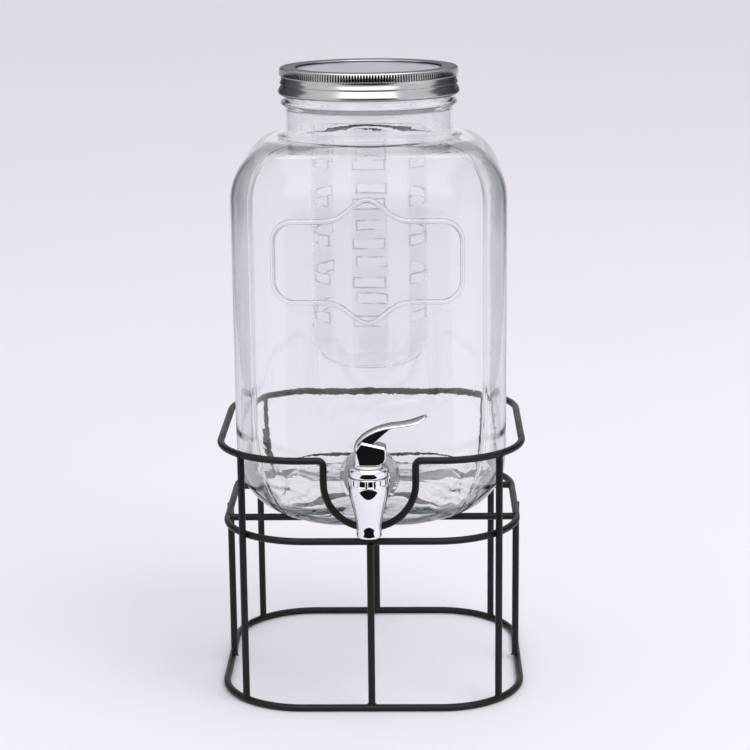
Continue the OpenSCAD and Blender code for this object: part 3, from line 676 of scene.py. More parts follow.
def lid_band():
    """The screw band: rolled lip, knurled strip, straight waist, groove and a rolled bead at its foot."""
    teeth_steps = 4
    steps = KNURL_TEETH * teeth_steps
    strip_high = LID_TOP_Z - 0.9 * MM
    strip_low = LID_TOP_Z - 5.2 * MM
    waist_r = 55.95 * MM
    profile = near(LIP_R, LIP_Z, [(0, 0.3), (0.1, 0.75)])
    profile += near(LIP_R, LID_TOP_Z, [(0.5, -0.1), (1.1, -0.02), (3.5, -0.12), (6.5, -0.12), (8.2, 0)])
    profile += arc(KNURL_R - 1.5 * MM, LID_TOP_Z - 1.2 * MM, 1.2 * MM, 90, 25, 5)
    profile.append((KNURL_R, strip_high - 0.3 * MM))
    profile += near(KNURL_R, strip_low, [(0, 0.35), (-0.25, 0)])
    profile.append((waist_r + 0.2 * MM, strip_low - 0.5 * MM))
    profile += near(waist_r, BAND_FOOT_Z, [(0, 10.7), (0, 9.6), (0.25, 8.5), (0.7, 7.6), (0.85, 7.3),
        (0.75, 7), (0.2, 6.7), (0.1, 6.3), (0.3, 5.6), (0.9, 4.5), (1.5, 3.5), (1.85, 2.6), (1.9, 1.9),
        (1.7, 1.1), (1.2, 0.4), (0.5, 0)])
    profile += near(BAND_BORE_R, BAND_FOOT_Z, [(0.3, 0), (0, 0.3)])
    profile += near(BAND_BORE_R, LIP_Z, [(0, -0.6), (-0.2, -0.15), (-0.6, 0)])
    profile.append((LIP_R + 0.3 * MM, LIP_Z))
    band = turned("lid_screw_band", profile, steps)

    def in_groove(place):
        in_strip = strip_low - 0.05 * MM < place.z < strip_high
        if not (in_strip and hypot(place.x, place.y) > KNURL_R - 0.4 * MM):
            return False
        return round(atan2(place.y, place.x) * steps / (2 * pi)) % teeth_steps in (0, 1)

    press_in(band, in_groove, KNURL_R, KNURL_DEPTH)
    smooth(band, 40)
    return band


def lid_disc():
    """The loose disc: a flat panel with a rolled step near its edge."""
    top = DISC_Z + DISC_T
    profile = [(0, DISC_Z)] + near(DISC_R, DISC_Z, [(-0.3, 0), (0, 0.3)]) + near(DISC_R, top, [(-0.3, 0)])
    profile += near(LIP_R, top, [(0.5, 0), (-0.8, -0.05), (-1.8, -0.3), (-3, -0.35), (-4.2, -0.3),
        (-5.4, -0.05), (-6.5, 0)])
    profile += [(20 * MM, top), (0, top)]
    disc = turned("lid_panel", profile, 128, closed=False)
    smooth(disc, 40)
    return disc


# Tap

def spout():
    """The tapered spout with its valve chamber, a plain outlet and a ring of shallow flutes at the top."""
    flute_steps = 10
    steps = FLUTES * flute_steps
    centre = (0, TAP_Y, 0)
    profile = near(0, 0, [(6.2, 123.7), (7.1, 123.75), (7.6, 124.1), (7.75, 124.7), (7.78, 125.5),
        (7.74, 127), (7.62, 128.4), (7.58, 129.6), (7.75, 131.7), (8.3, 135), (9.4, 140), (10.6, 145),
        (11.2, 147.5), (11.7, 150), (12.1, 152.5), (12.32, 155), (12.4, 157.2), (12.5, 157.5),
        (12.5, 157.9), (12.5, 158.3), (12.5, 161.9), (12.5, 162.2), (12.4, 162.4), (12.1, 162.55)])
    profile += near(CHAMBER_R, SPOUT_TOP_Z, [(1, 0), (0, -0.3)])
    profile += near(CHAMBER_R, VALVE_Z, [(0, 0.2), (-0.2, 0)])
    profile += near(OUTLET_R, VALVE_Z, [(0.3, 0), (0, -0.4)])
    profile += near(OUTLET_R, SPOUT_END_Z, [(0, 0.5), (0.3, 0.1)])
    body = turned("spout", profile, steps, centre=centre)

    def in_flute(place):
        x, y = place.x, place.y - TAP_Y
        if not (FLUTE_LOW_Z < place.z < FLUTE_HIGH_Z and hypot(x, y) > SPOUT_R - 0.1 * MM):
            return False
        step = round((degrees(atan2(y, x)) - FLUTE_TURN) * steps / 360) % flute_steps
        return min(step, flute_steps - step) <= 3

    press_in(body, in_flute, SPOUT_R, FLUTE_DEPTH, centre)
    return body


def shank():
    """The neck from the spout to the jar, with its flange and a thread for the nut behind the glass."""
    pitch = 1.8 * MM
    root_y = TAP_Y + CHAMBER_R - 0.5 * MM
    front_y = FLANGE_Y - FLANGE_T
    profile = [(SHANK_BORE_R, root_y), (SHANK_R + 0.6 * MM, root_y), (SHANK_R, TAP_Y + 12 * MM)]
    profile += near(SHANK_R, front_y, [(0, -2), (0.5, -0.8), (1.4, 0)])
    profile += near(FLANGE_R, front_y, [(-0.8, 0), (-0.2, 0.25), (0, 0.8)])
    profile += near(FLANGE_R, FLANGE_Y, [(0, -0.4), (-0.3, 0)])
    profile.append((SHANK_R, FLANGE_Y))
    for y in spread(INSIDE_Y, SHANK_END_Y - 1.5 * MM, pitch):
        profile += [(SHANK_R, y), (SHANK_R - 0.6 * MM, y + 0.5 * pitch)]
    profile += near(SHANK_R, SHANK_END_Y, [(-0.6, -0.3), (-1, 0)])
    profile.append((SHANK_BORE_R, SHANK_END_Y))
    return turned("shank", profile, 64, upright=False, centre=(0, 0, TAP_Z))


def tap_casting():
    """Spout and shank as the one casting that they are."""
    body = join("tap_casting", [spout(), shank()])
    smooth(body, 18)
    return body


def bonnet():
    """The screwed cap of the valve, with rounded edges and a plug below."""
    profile = near(0, 0, [(9.5, 162.6), (11.2, 162.62), (11.7, 162.8), (12.05, 163.2), (12.2, 163.8),
        (12.2, 166.3), (12.05, 167), (11.6, 167.6), (10.9, 168), (10, 168.2), (3, 168.2), (2.55, 167.9)])
    profile.append((BONNET_BORE_R, BONNET_PLUG_Z))
    profile += near(BONNET_PLUG_R, BONNET_PLUG_Z, [(-0.3, 0), (0, 0.3)])
    profile.append((BONNET_PLUG_R, SPOUT_TOP_Z))
    cap = turned("tap_cap", profile, 96, centre=(0, TAP_Y, 0))
    smooth(cap, 18)
    return cap


def gasket(name, from_y):
    """A soft washer round the shank, with rounded edges."""
    edge = 0.7 * MM
    to_y = from_y + GASKET_T
    profile = near(GASKET_BORE_R, from_y, [(0, 0.2), (0.2, 0)])
    profile += arc(GASKET_R - edge, from_y + edge, edge, -90, 0, 5)
    profile += arc(GASKET_R - edge, to_y - edge, edge, 0, 90, 5)
    profile += near(GASKET_BORE_R, to_y, [(0.2, 0), (0, -0.2)])
    ring = turned(name, profile, 96, upright=False, centre=(0, 0, TAP_Z))
    smooth(ring, 40)
    return ring


def lever_foot():
    """The cam foot: a block with a sloping top, one rolling corner, wide bevels and a slot for the stem."""
    face = [(-5.2, -7.3)] + arc(4.8, -1.9, 5.4, -90, 0, 10)
    face += [(10.2, 1.6), (9.5, 3.1), (-4.3, 6.3), (-7.3, 2.2), (-7.3, 1)]
    full = [(-7.7, -7.7)] + arc(5.5, -2.2, 5.5, -90, 0, 10)
    full += [(11, 2.2), (10.2, 4.1), (-3.8, 7.4), (-7.9, 2.6), (-7.8, 0.8)]
    middle = [(0, 0)] * len(face)
    rings = []
    for y, outline in ((-6, middle), (-6, face), (-5, full), (5, full), (6, face), (6, middle)):
        ring = [(x, TAP_Y + y * MM, z) for x, z in near(0, PIVOT_Z, outline)]
        rings.append(ring + ring[:1])
    foot = wrapped("foot", np.array(rings))
    slot = near(0, PIVOT_Z, [(-4.2, -9), (12, -9), (12, 0), (4.2, 0), (4.2, 3.8), (-4.2, 3.8)])
    slot_half_w = 2.2 * MM
    combine(foot, slab("slot", slot, TAP_Y - slot_half_w, TAP_Y + slot_half_w), "DIFFERENCE")
    return foot


def lever_strap():
    """The arm: a round-edged strap that rises from the foot's back and arches over to a paddle."""
    line = through([(-7.2, -1.5), (-7.8, 0.8), (-7.7, 3.2), (-6.7, 5.6), (-4.9, 7.9), (-1.9, 10.5),
        (3.2, 13.4), (8.8, 15.4), (14.6, 16.6), (21.2, 17.4), (27.6, 18.8), (32.3, 20.7), (35.6, 22.6)], 90)
    along = np.gradient(line, axis=0)
    along /= np.linalg.norm(along, axis=1)[:, None]
    tip_x, tip_r = 29, 6.7
    rings = []
    for (x, z), (dx, dz) in zip(line, along):
        half_w = np.interp(x, [-8, 4, 15, 28], [5.5, 5.5, 5.9, tip_r])
        if x > tip_x:
            half_w = sqrt(max(0.3, tip_r ** 2 - (x - tip_x) ** 2))
        half_t = np.interp(x, [-8, 24, 36], [1.0, 1.1, 0.9])
        ring = []
        for turn in np.linspace(0, 2 * pi, 33):
            across = half_w * copysign(abs(cos(turn)) ** 0.8, cos(turn))
            out = half_t * copysign(abs(sin(turn)) ** 0.8, sin(turn))
            ring.append((x - dz * out, across, z + dx * out))
        rings.append(ring)
    place = np.array(rings)
    start = place[:1] * 0 + place[0].mean(axis=0)
    end = place[-1:] * 0 + place[-1].mean(axis=0)
    place = np.concatenate([start, place, end])
    return wrapped("strap", place * MM + np.array([0, TAP_Y, PIVOT_Z]))


def lever_web():
    """The flat web that fills the crook between the arm and the foot."""
    outline = near(0, PIVOT_Z, [(-6.5, 1), (3, 2), (3.6, 6.4), (6, 8.6), (8.2, 10.7), (10.6, 12.8),
        (12.7, 14.5), (14.6, 15.8), (14.6, 16.4), (8.8, 15.2), (3.2, 13.2), (-1.9, 10.3), (-4.9, 7.7),
        (-6.7, 5.4)])
    half_w = 4.9 * MM
    web = slab("web", outline, TAP_Y - half_w, TAP_Y + half_w)
    round_edges(web, 0.35 * MM, 40)
    return web


def lever():
    """Foot, strap and web as the one cast lever that they are."""
    foot = lever_foot()
    round_edges(foot, 0.25 * MM, 25)
    web = lever_web()
    strap = lever_strap()
    for piece, angle in ((foot, 12), (web, 12), (strap, 40)):
        smooth(piece, angle)
    return join("lever_handle", [foot, strap, web])


# Welds of the wire stand

def weld_collar(place, along, up=(0, 0, 1)):
    """A small uneven bead of weld round the end of a wire that meets another at right angles."""
    deselect_all()
    bpy.ops.mesh.primitive_torus_add(major_segments=28, minor_segments=8, major_radius=WIRE_R + 0.05 * MM,
        minor_radius=0.5 * MM, location=(0, 0, 0))
    bead = name_new("weld")
    spots = np.empty(len(bead.data.vertices) * 3)
    bead.data.vertices.foreach_get("co", spots)
    spots = spots.reshape(-1, 3)
    turn = np.arctan2(spots[:, 1], spots[:, 0])
    swell = 1 + 0.08 * np.sin(3 * turn + place[0] * 900) + 0.05 * np.sin(7 * turn + place[1] * 700)
    spots[:, :2] *= swell[:, None]
    axis_up = np.array(up)
    sag = np.minimum(spots[:, 1] ** 2 / (2.2 * WIRE_R), 1.6 * MM)
    world = (spots[:, :1] * np.array(along) + spots[:, 1:2] * np.cross(axis_up, np.array(along))
        + (spots[:, 2:] * 0.8 - sag[:, None]) * axis_up) + np.array(place)
    bead.data.vertices.foreach_set("co", world.reshape(-1))
    bead.data.update()
    return bead


def welds():
    """All the weld beads of the stand, as one piece."""
    beads = []
    half = sqrt(0.5)
    for side_x in (-1, 1):
        for side_y in (-1, 1):
            x, y = side_x * UPRIGHT_X, side_y * UPRIGHT_Y
            along = (-side_y * half, side_x * half, 0)
            beads.append(weld_collar((x, y, BASE_RING_Z + WIRE_R - 0.1 * MM), along))
            beads.append(weld_collar((x, y, TOP_RING_Z - WIRE_R + 0.1 * MM), along, up=(0, 0, -1)))
    for x, y, along in ((0, -SIDE_UPRIGHT_Y, (1, 0, 0)), (0, SIDE_UPRIGHT_Y, (1, 0, 0)),
            (-SIDE_UPRIGHT_X, 0, (0, 1, 0)), (SIDE_UPRIGHT_X, 0, (0, 1, 0))):
        beads.append(weld_collar((x, y, BASE_RING_Z + WIRE_R - 0.2 * MM), along))
    for side in (-1, 1):
        for y in (-CROSSBAR_Y, CROSSBAR_Y):
            spot = (side * (MIDDLE_HALF_W - WIRE_R), y, MIDDLE_RING_Z)
            beads.append(weld_collar(spot, (0, 1, 0), up=(-side, 0, 0)))
    piece = join("stand_welds", beads)
    set_mode("EDIT")
    close_up()
    smooth(piece, 60)
    return piece


# Materials

def add_node(tree, kind, **settings):
    """A shader node with its properties and its input values set by name."""
    node = tree.nodes.new(kind)
    for setting, value in settings.items():
        if setting in node.inputs:
            node.inputs[setting].default_value = value
        else:
            setattr(node, setting, value)
    return node


def link(source, target):
    """Join the output of one node to the input of another."""
    source.id_data.links.new(source, target)


def uneven_group():
    """Shared unevenness: a value that drifts between two levels in soft patches, and a fine grain."""
    group = bpy.data.node_groups.new("uneven_finish", "ShaderNodeTree")
    for name, value in (("Patch Scale", 20.0), ("Grain Scale", 800.0), ("Low", 0.3), ("High", 0.4)):
        socket = group.interface.new_socket(name, in_out="INPUT", socket_type="NodeSocketFloat")
        socket.default_value = value
    for name in ("Level", "Grain", "Patch"):
        group.interface.new_socket(name, in_out="OUTPUT", socket_type="NodeSocketFloat")
    inputs = group.nodes.new("NodeGroupInput")
    outputs = group.nodes.new("NodeGroupOutput")
    where = group.nodes.new("ShaderNodeTexCoord")
    patch = add_node(group, "ShaderNodeTexNoise", Detail=4.0, Roughness=0.6)
    grain = add_node(group, "ShaderNodeTexNoise", Detail=2.0, Roughness=0.5)
    spread_out = add_node(group, "ShaderNodeMapRange")
    spread_out.inputs["From Min"].default_value = 0.3
    spread_out.inputs["From Max"].default_value = 0.7
    for noise, scale in ((patch, "Patch Scale"), (grain, "Grain Scale")):
        link(where.outputs["Object"], noise.inputs["Vector"])
        link(inputs.outputs[scale], noise.inputs["Scale"])
    link(patch.outputs["Fac"], spread_out.inputs["Value"])
    link(inputs.outputs["Low"], spread_out.inputs["To Min"])
    link(inputs.outputs["High"], spread_out.inputs["To Max"])
    link(spread_out.outputs["Result"], outputs.inputs["Level"])
    link(grain.outputs["Fac"], outputs.inputs["Grain"])
    link(patch.outputs["Fac"], outputs.inputs["Patch"])
    return group


UNEVEN = uneven_group()


def ramp_between(tree, low, high, shades):
    """A colour ramp from one shade to another between two places."""
    ramp = tree.nodes.new("ShaderNodeValToRGB")
    for element, position, shade in zip(ramp.color_ramp.elements, (low, high), shades):
        element.position = position
        element.color = (*shade, 1)
    return ramp


def finish(name, rough, patch_scale, grain_scale, bump, bump_depth, shades=None, **sockets):
    """A Principled material whose roughness drifts between two levels, with a grain and drifting shades."""
    material = bpy.data.materials.new(name)
    material.use_nodes = True
    tree = material.node_tree
    tree.nodes.clear()
    shader = add_node(tree, "ShaderNodeBsdfPrincipled", **sockets)
    output = tree.nodes.new("ShaderNodeOutputMaterial")
    uneven = tree.nodes.new("ShaderNodeGroup")
    uneven.node_tree = UNEVEN
    levels = {"Patch Scale": patch_scale, "Grain Scale": grain_scale, "Low": rough[0], "High": rough[1]}
    for socket, value in levels.items():
        uneven.inputs[socket].default_value = value
    link(uneven.outputs["Level"], shader.inputs["Roughness"])
    relief = add_node(tree, "ShaderNodeBump", Strength=bump, Distance=bump_depth)
    link(uneven.outputs["Grain"], relief.inputs["Height"])
    link(relief.outputs["Normal"], shader.inputs["Normal"])
    if shades:
        ramp = ramp_between(tree, 0.32, 0.68, shades)
        link(uneven.outputs["Patch"], ramp.inputs["Fac"])
        link(ramp.outputs["Color"], shader.inputs["Base Color"])
    link(shader.outputs["BSDF"], output.inputs["Surface"])
    return material


def node_of(material, kind):
    """The one node of a kind in a material."""
    return next(node for node in material.node_tree.nodes if node.type == kind)


def base_colour(material):
    """The colour socket of a material."""
    return node_of(material, "BSDF_PRINCIPLED").inputs["Base Color"]


def let_lamps_through(material, tint):
    """Lamp rays pass a clear material with a little tint, so that it throws a pale shadow."""
    tree = material.node_tree
    ray = tree.nodes.new("ShaderNodeLightPath")
    clear = add_node(tree, "ShaderNodeBsdfTransparent", Color=(*tint, 1))
    mix = tree.nodes.new("ShaderNodeMixShader")
    link(ray.outputs["Is Shadow Ray"], mix.inputs["Fac"])
    link(node_of(material, "BSDF_PRINCIPLED").outputs["BSDF"], mix.inputs[1])
    link(clear.outputs["BSDF"], mix.inputs[2])
    link(mix.outputs["Shader"], node_of(material, "OUTPUT_MATERIAL").inputs["Surface"])


def soak_up(material, colour, density):
    """Clear material takes on a faint colour where light travels far inside it."""
    tree = material.node_tree
    volume = add_node(tree, "ShaderNodeVolumeAbsorption", Color=(*colour, 1), Density=density)
    link(volume.outputs["Volume"], node_of(material, "OUTPUT_MATERIAL").inputs["Volume"])


def shade_by(material, share, shade):
    """Mix a shade into the colour of a material, by a share from 0 to 1."""
    tree = material.node_tree
    colour = base_colour(material)
    mix = add_node(tree, "ShaderNodeMix", data_type="RGBA")
    first, second, mixed = mix.inputs[6], mix.inputs[7], mix.outputs[2]
    second.default_value = (*shade, 1)
    link(share, mix.inputs[0])
    link(colour.links[0].from_socket, first)
    link(mixed, colour)


def paint_flank_shade(material, shade):
    """Painted shade: the marked flanks of the raised frame are painted darker, standing in for the dark
    that the slanted glass refracts there.
    """
    flank = add_node(material.node_tree, "ShaderNodeAttribute", attribute_name=FLANK_SHADE)
    shade_by(material, flank.outputs["Fac"], shade)


def fade_between(tree, value, start, end):
    """A soft step from 0 to 1 as a value goes from start to end."""
    step = add_node(tree, "ShaderNodeMapRange", interpolation_type="SMOOTHSTEP")
    step.inputs["From Min"].default_value = start
    step.inputs["From Max"].default_value = end
    link(value, step.inputs["Value"])
    return step.outputs["Result"]


def reckon(tree, operation, *values):
    """The result of one step of arithmetic on numbers or other nodes' results."""
    node = add_node(tree, "ShaderNodeMath", operation=operation)
    for socket, value in zip(node.inputs, values):
        if isinstance(value, (int, float)):
            socket.default_value = value
        else:
            link(value, socket)
    return node.outputs["Value"]


def times(tree, first, *others):
    """The product of several nodes' results."""
    for value in others:
        first = reckon(tree, "MULTIPLY", first, value)
    return first


def object_axes(tree):
    """The three object coordinates of the point that is shaded."""
    where = tree.nodes.new("ShaderNodeTexCoord")
    axes = tree.nodes.new("ShaderNodeSeparateXYZ")
    link(where.outputs["Object"], axes.inputs["Vector"])
    return axes.outputs["X"], axes.outputs["Y"], axes.outputs["Z"]


def axis_distance(tree):
    """The distance of the shaded point from the upright axis."""
    x, y, _ = object_axes(tree)
    return reckon(tree, "SQRT", reckon(tree, "MULTIPLY_ADD", x, x, reckon(tree, "MULTIPLY", y, y)))


def paint_glass_edge_shade(material, span, inner_r, outer_r, pale, dark):
    """Painted shade: clear material is painted darker where it is seen edge on, but not around the middle
    nor at the back; it stands in for the dark surroundings that glass refracts at its edges.
    """
    back_y, front_y = 55 * MM, 30 * MM
    wall_share, shoulder_share = 0.85, 0.35
    tree = material.node_tree
    edge = add_node(tree, "ShaderNodeLayerWeight", Blend=0.5)
    outside = fade_between(tree, axis_distance(tree), inner_r, outer_r)
    _, y, z = object_axes(tree)
    in_front = fade_between(tree, y, back_y, front_y)
    on_shoulder = fade_between(tree, z, SHOULDER_Z - 2 * SHOULDER_R, SHOULDER_Z - 0.6 * SHOULDER_R)
    share = reckon(tree, "MULTIPLY_ADD", on_shoulder, shoulder_share, wall_share)
    ramp = ramp_between(tree, *span, (pale, dark))
    link(times(tree, edge.outputs["Facing"], outside, share, in_front), ramp.inputs["Fac"])
    link(ramp.outputs["Color"], base_colour(material))


def paint_groove_shade(material, low_z, high_z, groove_r, tooth_r, shade):
    """Painted shade: the grooves between the teeth of a knurled strip are painted dark."""
    tree = material.node_tree
    _, _, z = object_axes(tree)
    above = reckon(tree, "GREATER_THAN", z, low_z)
    below = reckon(tree, "LESS_THAN", z, high_z)
    depth = fade_between(tree, axis_distance(tree), tooth_r, groove_r)
    shade_by(material, times(tree, above, below, depth), shade)


def paint_rim_shadow(material, inner_r, outer_r, shade):
    """Painted shadow: a turned surface is painted darker from one radius to another, where it runs in under
    an edge.
    """
    tree = material.node_tree
    shade_by(material, fade_between(tree, axis_distance(tree), inner_r, outer_r), shade)


def lacquer_below(material, level, lacquer):
    """Sheet metal is bare above a level and lacquered below it."""
    tree = material.node_tree
    _, _, z = object_axes(tree)
    bare = reckon(tree, "GREATER_THAN", z, level)
    shade_by(material, reckon(tree, "SUBTRACT", 1, bare), lacquer)
    link(bare, node_of(material, "BSDF_PRINCIPLED").inputs["Metallic"])


def paint_infuser_shade(material, rib, panel, rim):
    """Painted shade: the clear infuser's recessed panels are painted darker than its ribs, and the slots'
    rims darker still, broken up in patches.
    """
    tree = material.node_tree
    x, y, z = object_axes(tree)
    turn = reckon(tree, "ARCTAN2", y, x)
    phase = reckon(tree, "MULTIPLY_ADD", turn, SLOT_COLUMNS, radians(90 * SLOT_COLUMNS))
    wave = reckon(tree, "COSINE", phase)

    def across(half_turn):
        return reckon(tree, "GREATER_THAN", wave, cos(radians(half_turn * SLOT_COLUMNS)))

    in_panel = times(tree, across(PANEL_HALF_TURN), reckon(tree, "LESS_THAN", z, PANEL_HIGH_Z))
    up = reckon(tree, "SUBTRACT", z, INFUSER_Z + SLOT_LOW - SLOT_RIM)
    rim_h = SLOT_H + 2 * SLOT_RIM
    half_rows = ((SLOT_ROWS - 1) * SLOT_PITCH + rim_h) / 2
    in_rows = reckon(tree, "COMPARE", up, half_rows, half_rows)
    in_row = reckon(tree, "LESS_THAN", reckon(tree, "FLOORED_MODULO", up, SLOT_PITCH), rim_h)
    # Noise that breaks the painted shade round the slots into patches
    rim_patches = add_node(tree, "ShaderNodeTexNoise", Scale=90.0, Detail=1.0)
    link(node_of(material, "TEX_COORD").outputs["Object"], rim_patches.inputs["Vector"])
    broken = fade_between(tree, rim_patches.outputs["Fac"], 0.36, 0.6)
    in_rim = times(tree, across(SLOT_HALF_TURN + SLOT_RIM_TURN), in_rows, in_row, broken)
    ramp = ramp_between(tree, 0, 1, (rib, rim))
    middle = ramp.color_ramp.elements.new(0.5)
    middle.color = (*panel, 1)
    link(times(tree, reckon(tree, "ADD", in_panel, in_rim), 0.5), ramp.inputs["Fac"])
    link(ramp.outputs["Color"], base_colour(material))


# Painted shade: a dark specular tint makes the metal reflect less at a slant than real metal does, so its
# edges look dark.
EDGE_SHADE_TINT = (0.18, 0.18, 0.2, 1)


def make_materials():
    """Every finish of the dispenser, by its material slot."""
    made = {
        "black_wire": finish("satin_black_coat", (0.36, 0.48), 60, 1400, 0.12, 0.0002,
            shades=((0.0035, 0.0033, 0.0037), (0.006, 0.0057, 0.0065)), **{"Specular IOR Level": 0.26}),
        "jar_glass": finish("pressed_glass", (0.0, 0.01), 18, 200, 1.0, 0.00003,
            **{"Transmission Weight": 1.0, "IOR": 1.5}),
        "clear_plastic": finish("clear_moulded_plastic", (0.02, 0.06), 30, 60, 0.04, 0.0004,
            **{"Transmission Weight": 1.0, "IOR": 1.045}),
        "lid_tin": finish("tinned_steel", (0.18, 0.24), 40, 500, 0.05, 0.0002,
            shades=((0.5, 0.495, 0.505), (0.6, 0.59, 0.59)),
            **{"Metallic": 1.0, "Specular Tint": EDGE_SHADE_TINT}),
        "grey_disc": finish("brushed_lid_panel", (0.26, 0.36), 25, 700, 0.06, 0.0002,
            shades=((0.55, 0.54, 0.585), (0.62, 0.61, 0.65)), **{"Specular Tint": (0.75, 0.75, 0.78, 1)}),
        "pale_seal": finish("pale_sealing_ring", (0.5, 0.65), 40, 600, 0.1, 0.0002,
            shades=((0.72, 0.72, 0.7), (0.8, 0.8, 0.78))),
        "tap_chrome": finish("bright_chrome", (0.02, 0.05), 90, 300, 0.015, 0.0001,
            shades=((0.84, 0.84, 0.85), (0.9, 0.9, 0.905)),
            **{"Metallic": 1.0, "Specular Tint": EDGE_SHADE_TINT}),
        "clear_washer": finish("clear_silicone", (0.16, 0.28), 120, 500, 0.08, 0.0002,
            **{"Base Color": (0.94, 0.945, 0.95, 1), "Transmission Weight": 0.85, "IOR": 1.41}),
        "white_plastic": finish("white_nylon", (0.35, 0.48), 80, 700, 0.06, 0.0002,
            shades=((0.78, 0.78, 0.76), (0.84, 0.84, 0.82))),
        "dark_seal": finish("dark_rubber", (0.55, 0.7), 80, 900, 0.12, 0.0002,
            shades=((0.03, 0.03, 0.03), (0.05, 0.05, 0.05))),
        "steel": finish("bright_steel", (0.16, 0.26), 90, 700, 0.05, 0.0002,
            shades=((0.56, 0.56, 0.57), (0.66, 0.66, 0.67)), **{"Metallic": 1.0}),
    }
    let_lamps_through(made["jar_glass"], (0.93, 0.94, 0.94))
    let_lamps_through(made["clear_plastic"], (0.94, 0.945, 0.95))
    let_lamps_through(made["clear_washer"], (0.85, 0.86, 0.87))
    soak_up(made["jar_glass"], (0.4, 0.46, 0.455), 13)
    # Painted shade: the jar's glass is painted dark where it is seen edge on.
    paint_glass_edge_shade(made["jar_glass"], (0.45, 0.85), 58 * MM, 74 * MM,
        (0.99, 0.995, 0.993), (0.1, 0.11, 0.12))
    # Painted shade on the flanks of the raised frame.
    paint_flank_shade(made["jar_glass"], (0.45, 0.46, 0.47))
    # Painted shade on the infuser's panels and round its slots.
    paint_infuser_shade(made["clear_plastic"], (0.995, 0.995, 0.995), (0.945, 0.945, 0.955), (0.6, 0.61, 0.63))
    # Painted shade in the grooves of the lid's knurl.
    paint_groove_shade(made["lid_tin"], LID_TOP_Z - 5.3 * MM, LID_TOP_Z - 1 * MM,
        KNURL_R - KNURL_DEPTH, KNURL_R, (0.06, 0.06, 0.065))
    # Painted shadow where the lid panel runs in under the lip.
    paint_rim_shadow(made["grey_disc"], LIP_R - 1.4 * MM, LIP_R - 0.2 * MM, (0.12, 0.12, 0.13))
    lacquer_below(made["grey_disc"], DISC_Z + DISC_T / 4, (0.9, 0.9, 0.9))
    return made


def paint(piece, material):
    """One material all over a piece."""
    piece.data.materials.clear()
    piece.data.materials.append(material)


# Studio

BACKGROUND = (0.85, 0.835, 0.865)


def sheet(name, corners, material):
    """A flat sheet through four corners that shows only in reflections."""
    deselect_all()
    bpy.ops.mesh.primitive_plane_add(size=1, location=(0, 0, 0))
    piece = name_new(name)
    piece.data.vertices.foreach_set("co", np.array(corners, float).reshape(-1))
    piece.data.update()
    paint(piece, material)
    piece.visible_camera = False
    piece.visible_diffuse = False
    piece.visible_shadow = False
    piece.visible_transmission = False


def plain(name, shades, **sockets):
    """A dull, even finish for the studio's cards and cloths."""
    return finish(name, (0.7, 0.8), 5, 50, 0.0, 0.0001, shades=shades, **sockets)


def softbox(half_w, low_z, end_y):
    """Lit cloth whose glow fades out towards its sides, its lower edge and its far end."""
    cloth = plain("softbox", ((0.8, 0.8, 0.8), (0.82, 0.82, 0.82)), **{"Emission Strength": 1.9})
    tree = cloth.node_tree
    x, y, z = object_axes(tree)
    across = fade_between(tree, reckon(tree, "ABSOLUTE", x), half_w, half_w / 2)
    lit = times(tree, across, fade_between(tree, z, low_z, low_z + 1), fade_between(tree, y, end_y, 0))
    link(lit, node_of(cloth, "BSDF_PRINCIPLED").inputs["Emission Color"])
    return cloth


def surround():
    """Soft light from a pale surround, and enough bounces for light inside thick glass."""
    scene = bpy.context.scene
    scene.view_settings.view_transform = "Standard"
    scene.cycles.max_bounces = 32
    scene.cycles.transmission_bounces = 32
    scene.cycles.glossy_bounces = 16
    world = bpy.data.worlds.new("pale_surround")
    scene.world = world
    world.use_nodes = True
    backdrop = next(node for node in world.node_tree.nodes if node.type == "BACKGROUND")
    backdrop.inputs["Color"].default_value = (*BACKGROUND, 1)
    backdrop.inputs["Strength"].default_value = 1.0


def pale_floor():
    """The plain floor, as pale as the surround."""
    deselect_all()
    bpy.ops.mesh.primitive_plane_add(size=60, location=(0, 0, 0))
    floor = name_new("floor")
    paint(floor, finish("pale_floor", (0.55, 0.65), 3, 40, 0.0, 0.0001,
        shades=((0.835, 0.818, 0.868), (0.845, 0.828, 0.878)), **{"Specular IOR Level": 0.2}))


def reflections():
    """Dark cards on the floor, grey flags at the sides and a softbox, for glass and metal to reflect."""
    dark = plain("dark_card", ((0.006, 0.006, 0.008), (0.009, 0.009, 0.011)), **{"Specular IOR Level": 0.0})
    near_y, wide_y, far_y = -0.33, -1.7, -7.0
    near_w, wide_w = 0.3, 1.1
    low_z = 0.002
    wide_edge = [(-wide_w, wide_y, low_z), (wide_w, wide_y, low_z)]
    sheet("card_near", [(-near_w, near_y, low_z), (near_w, near_y, low_z)] + wide_edge, dark)
    sheet("card_far", wide_edge + [(-wide_w, far_y, low_z), (wide_w, far_y, low_z)], dark)
    grey = plain("grey_flag", ((0.11, 0.11, 0.12), (0.14, 0.14, 0.15)), **{"Specular IOR Level": 0.0})
    for name, x in (("flag_left", -0.75), ("flag_right", 0.75)):
        sheet(name, [(x, 0.05, 0.02), (x, 1.3, 0.02), (x, 0.05, 0.9), (x, 1.3, 0.9)], grey)
    box_w, box_y, box_low, box_high, box_end = 2.6, -2.4, 0.7, 3.5, 3.0
    bright = softbox(box_w, box_low, box_end)
    top_edge = [(-box_w, box_y, box_high), (box_w, box_y, box_high)]
    sheet("softbox_front", [(-box_w, box_y, box_low), (box_w, box_y, box_low)] + top_edge, bright)
    sheet("softbox_top", top_edge + [(-box_w, box_end, box_high), (box_w, box_end, box_high)], bright)


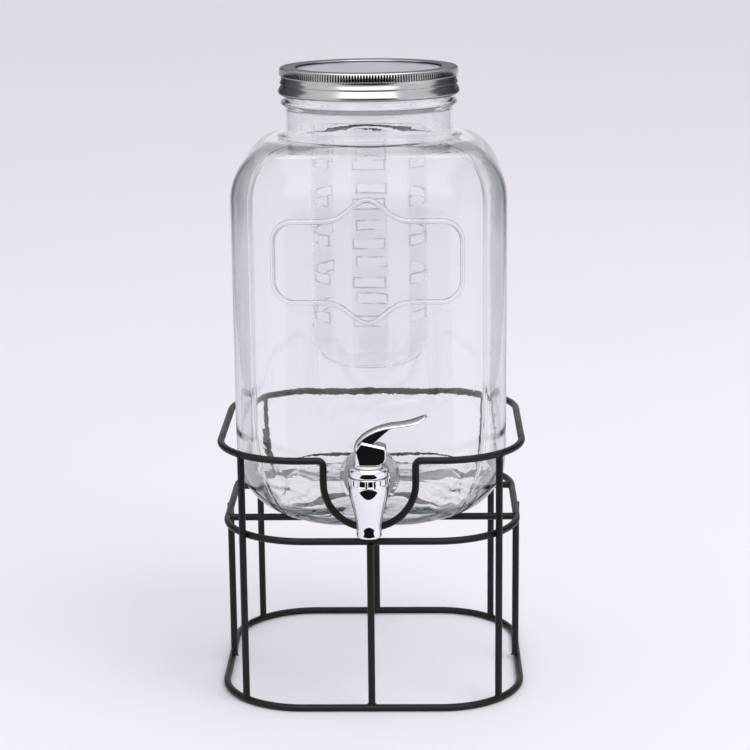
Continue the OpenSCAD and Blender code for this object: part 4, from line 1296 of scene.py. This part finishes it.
def soft_key():
    """A large soft lamp from the right, in front and above, that isn't itself reflected."""
    bpy.ops.object.light_add(type="AREA", location=(1.6, -1.2, 2.6))
    key = bpy.context.active_object
    key.name = "soft_key"
    key.data.shape = "DISK"
    key.data.size = 2.2
    key.data.energy = 42
    key.rotation_euler = (radians(36), 0, radians(52))
    key.visible_glossy = False
    key.visible_transmission = False


def studio():
    """Pale floor and surround, a large soft lamp, and what the glass and the metal reflect."""
    surround()
    pale_floor()
    reflections()
    soft_key()


def camera():
    """The photograph's viewpoint: a long lens above the lid, a little from the right and tilted."""
    bpy.ops.object.camera_add(location=(31.2 * MM, -1343.1 * MM, 519.7 * MM))
    view = bpy.context.active_object
    view.name = "photo_view"
    yaw = Matrix.Rotation(radians(1.24), 3, "Z")
    pitch = Matrix.Rotation(pi / 2 - radians(13.44), 3, "X")
    roll = Matrix.Rotation(radians(-0.58), 3, "Z")
    view.rotation_euler = (yaw @ pitch @ roll).to_euler()
    view.data.sensor_width = 36
    view.data.lens = 100.67
    view.data.clip_end = 200
    bpy.context.scene.camera = view


# Assembly

def dress():
    """Make each piece, set it on its body and give it its finish."""
    finishes = make_materials()
    node_slots = {part["node"]: part["material_slot"] for part in frame["record"]["subparts"]}
    for name, node in frame["nodes"].items():
        paint(node, finishes[node_slots[name]])
    for piece, body, slot, nodes in (
            (glass_jar(), "jar", "jar_glass", ["glass_jar", "jar_neck"]),
            (infuser(), "infuser", "clear_plastic", ["infuser_tube"]),
            (lid_band(), "band", "lid_tin", ["lid_band"]),
            (lid_disc(), "lid", "grey_disc", ["lid_disc"]),
            (tap_casting(), "jar", "tap_chrome", ["tap_body"]),
            (bonnet(), "jar", "tap_chrome", ["tap_bonnet"]),
            (gasket("outer_washer", FLANGE_Y), "jar", "clear_washer", ["outer_gasket"]),
            (gasket("inner_washer", INSIDE_Y), "jar", "clear_washer", ["inner_gasket"]),
            (lever(), "lever", "tap_chrome", ["lever"]),
            (welds(), "stand", "black_wire", [])):
        paint(piece, finishes[slot])
        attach(piece, body)
        if nodes:
            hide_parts(*nodes)


deselect_all()
dress()
studio()
camera()
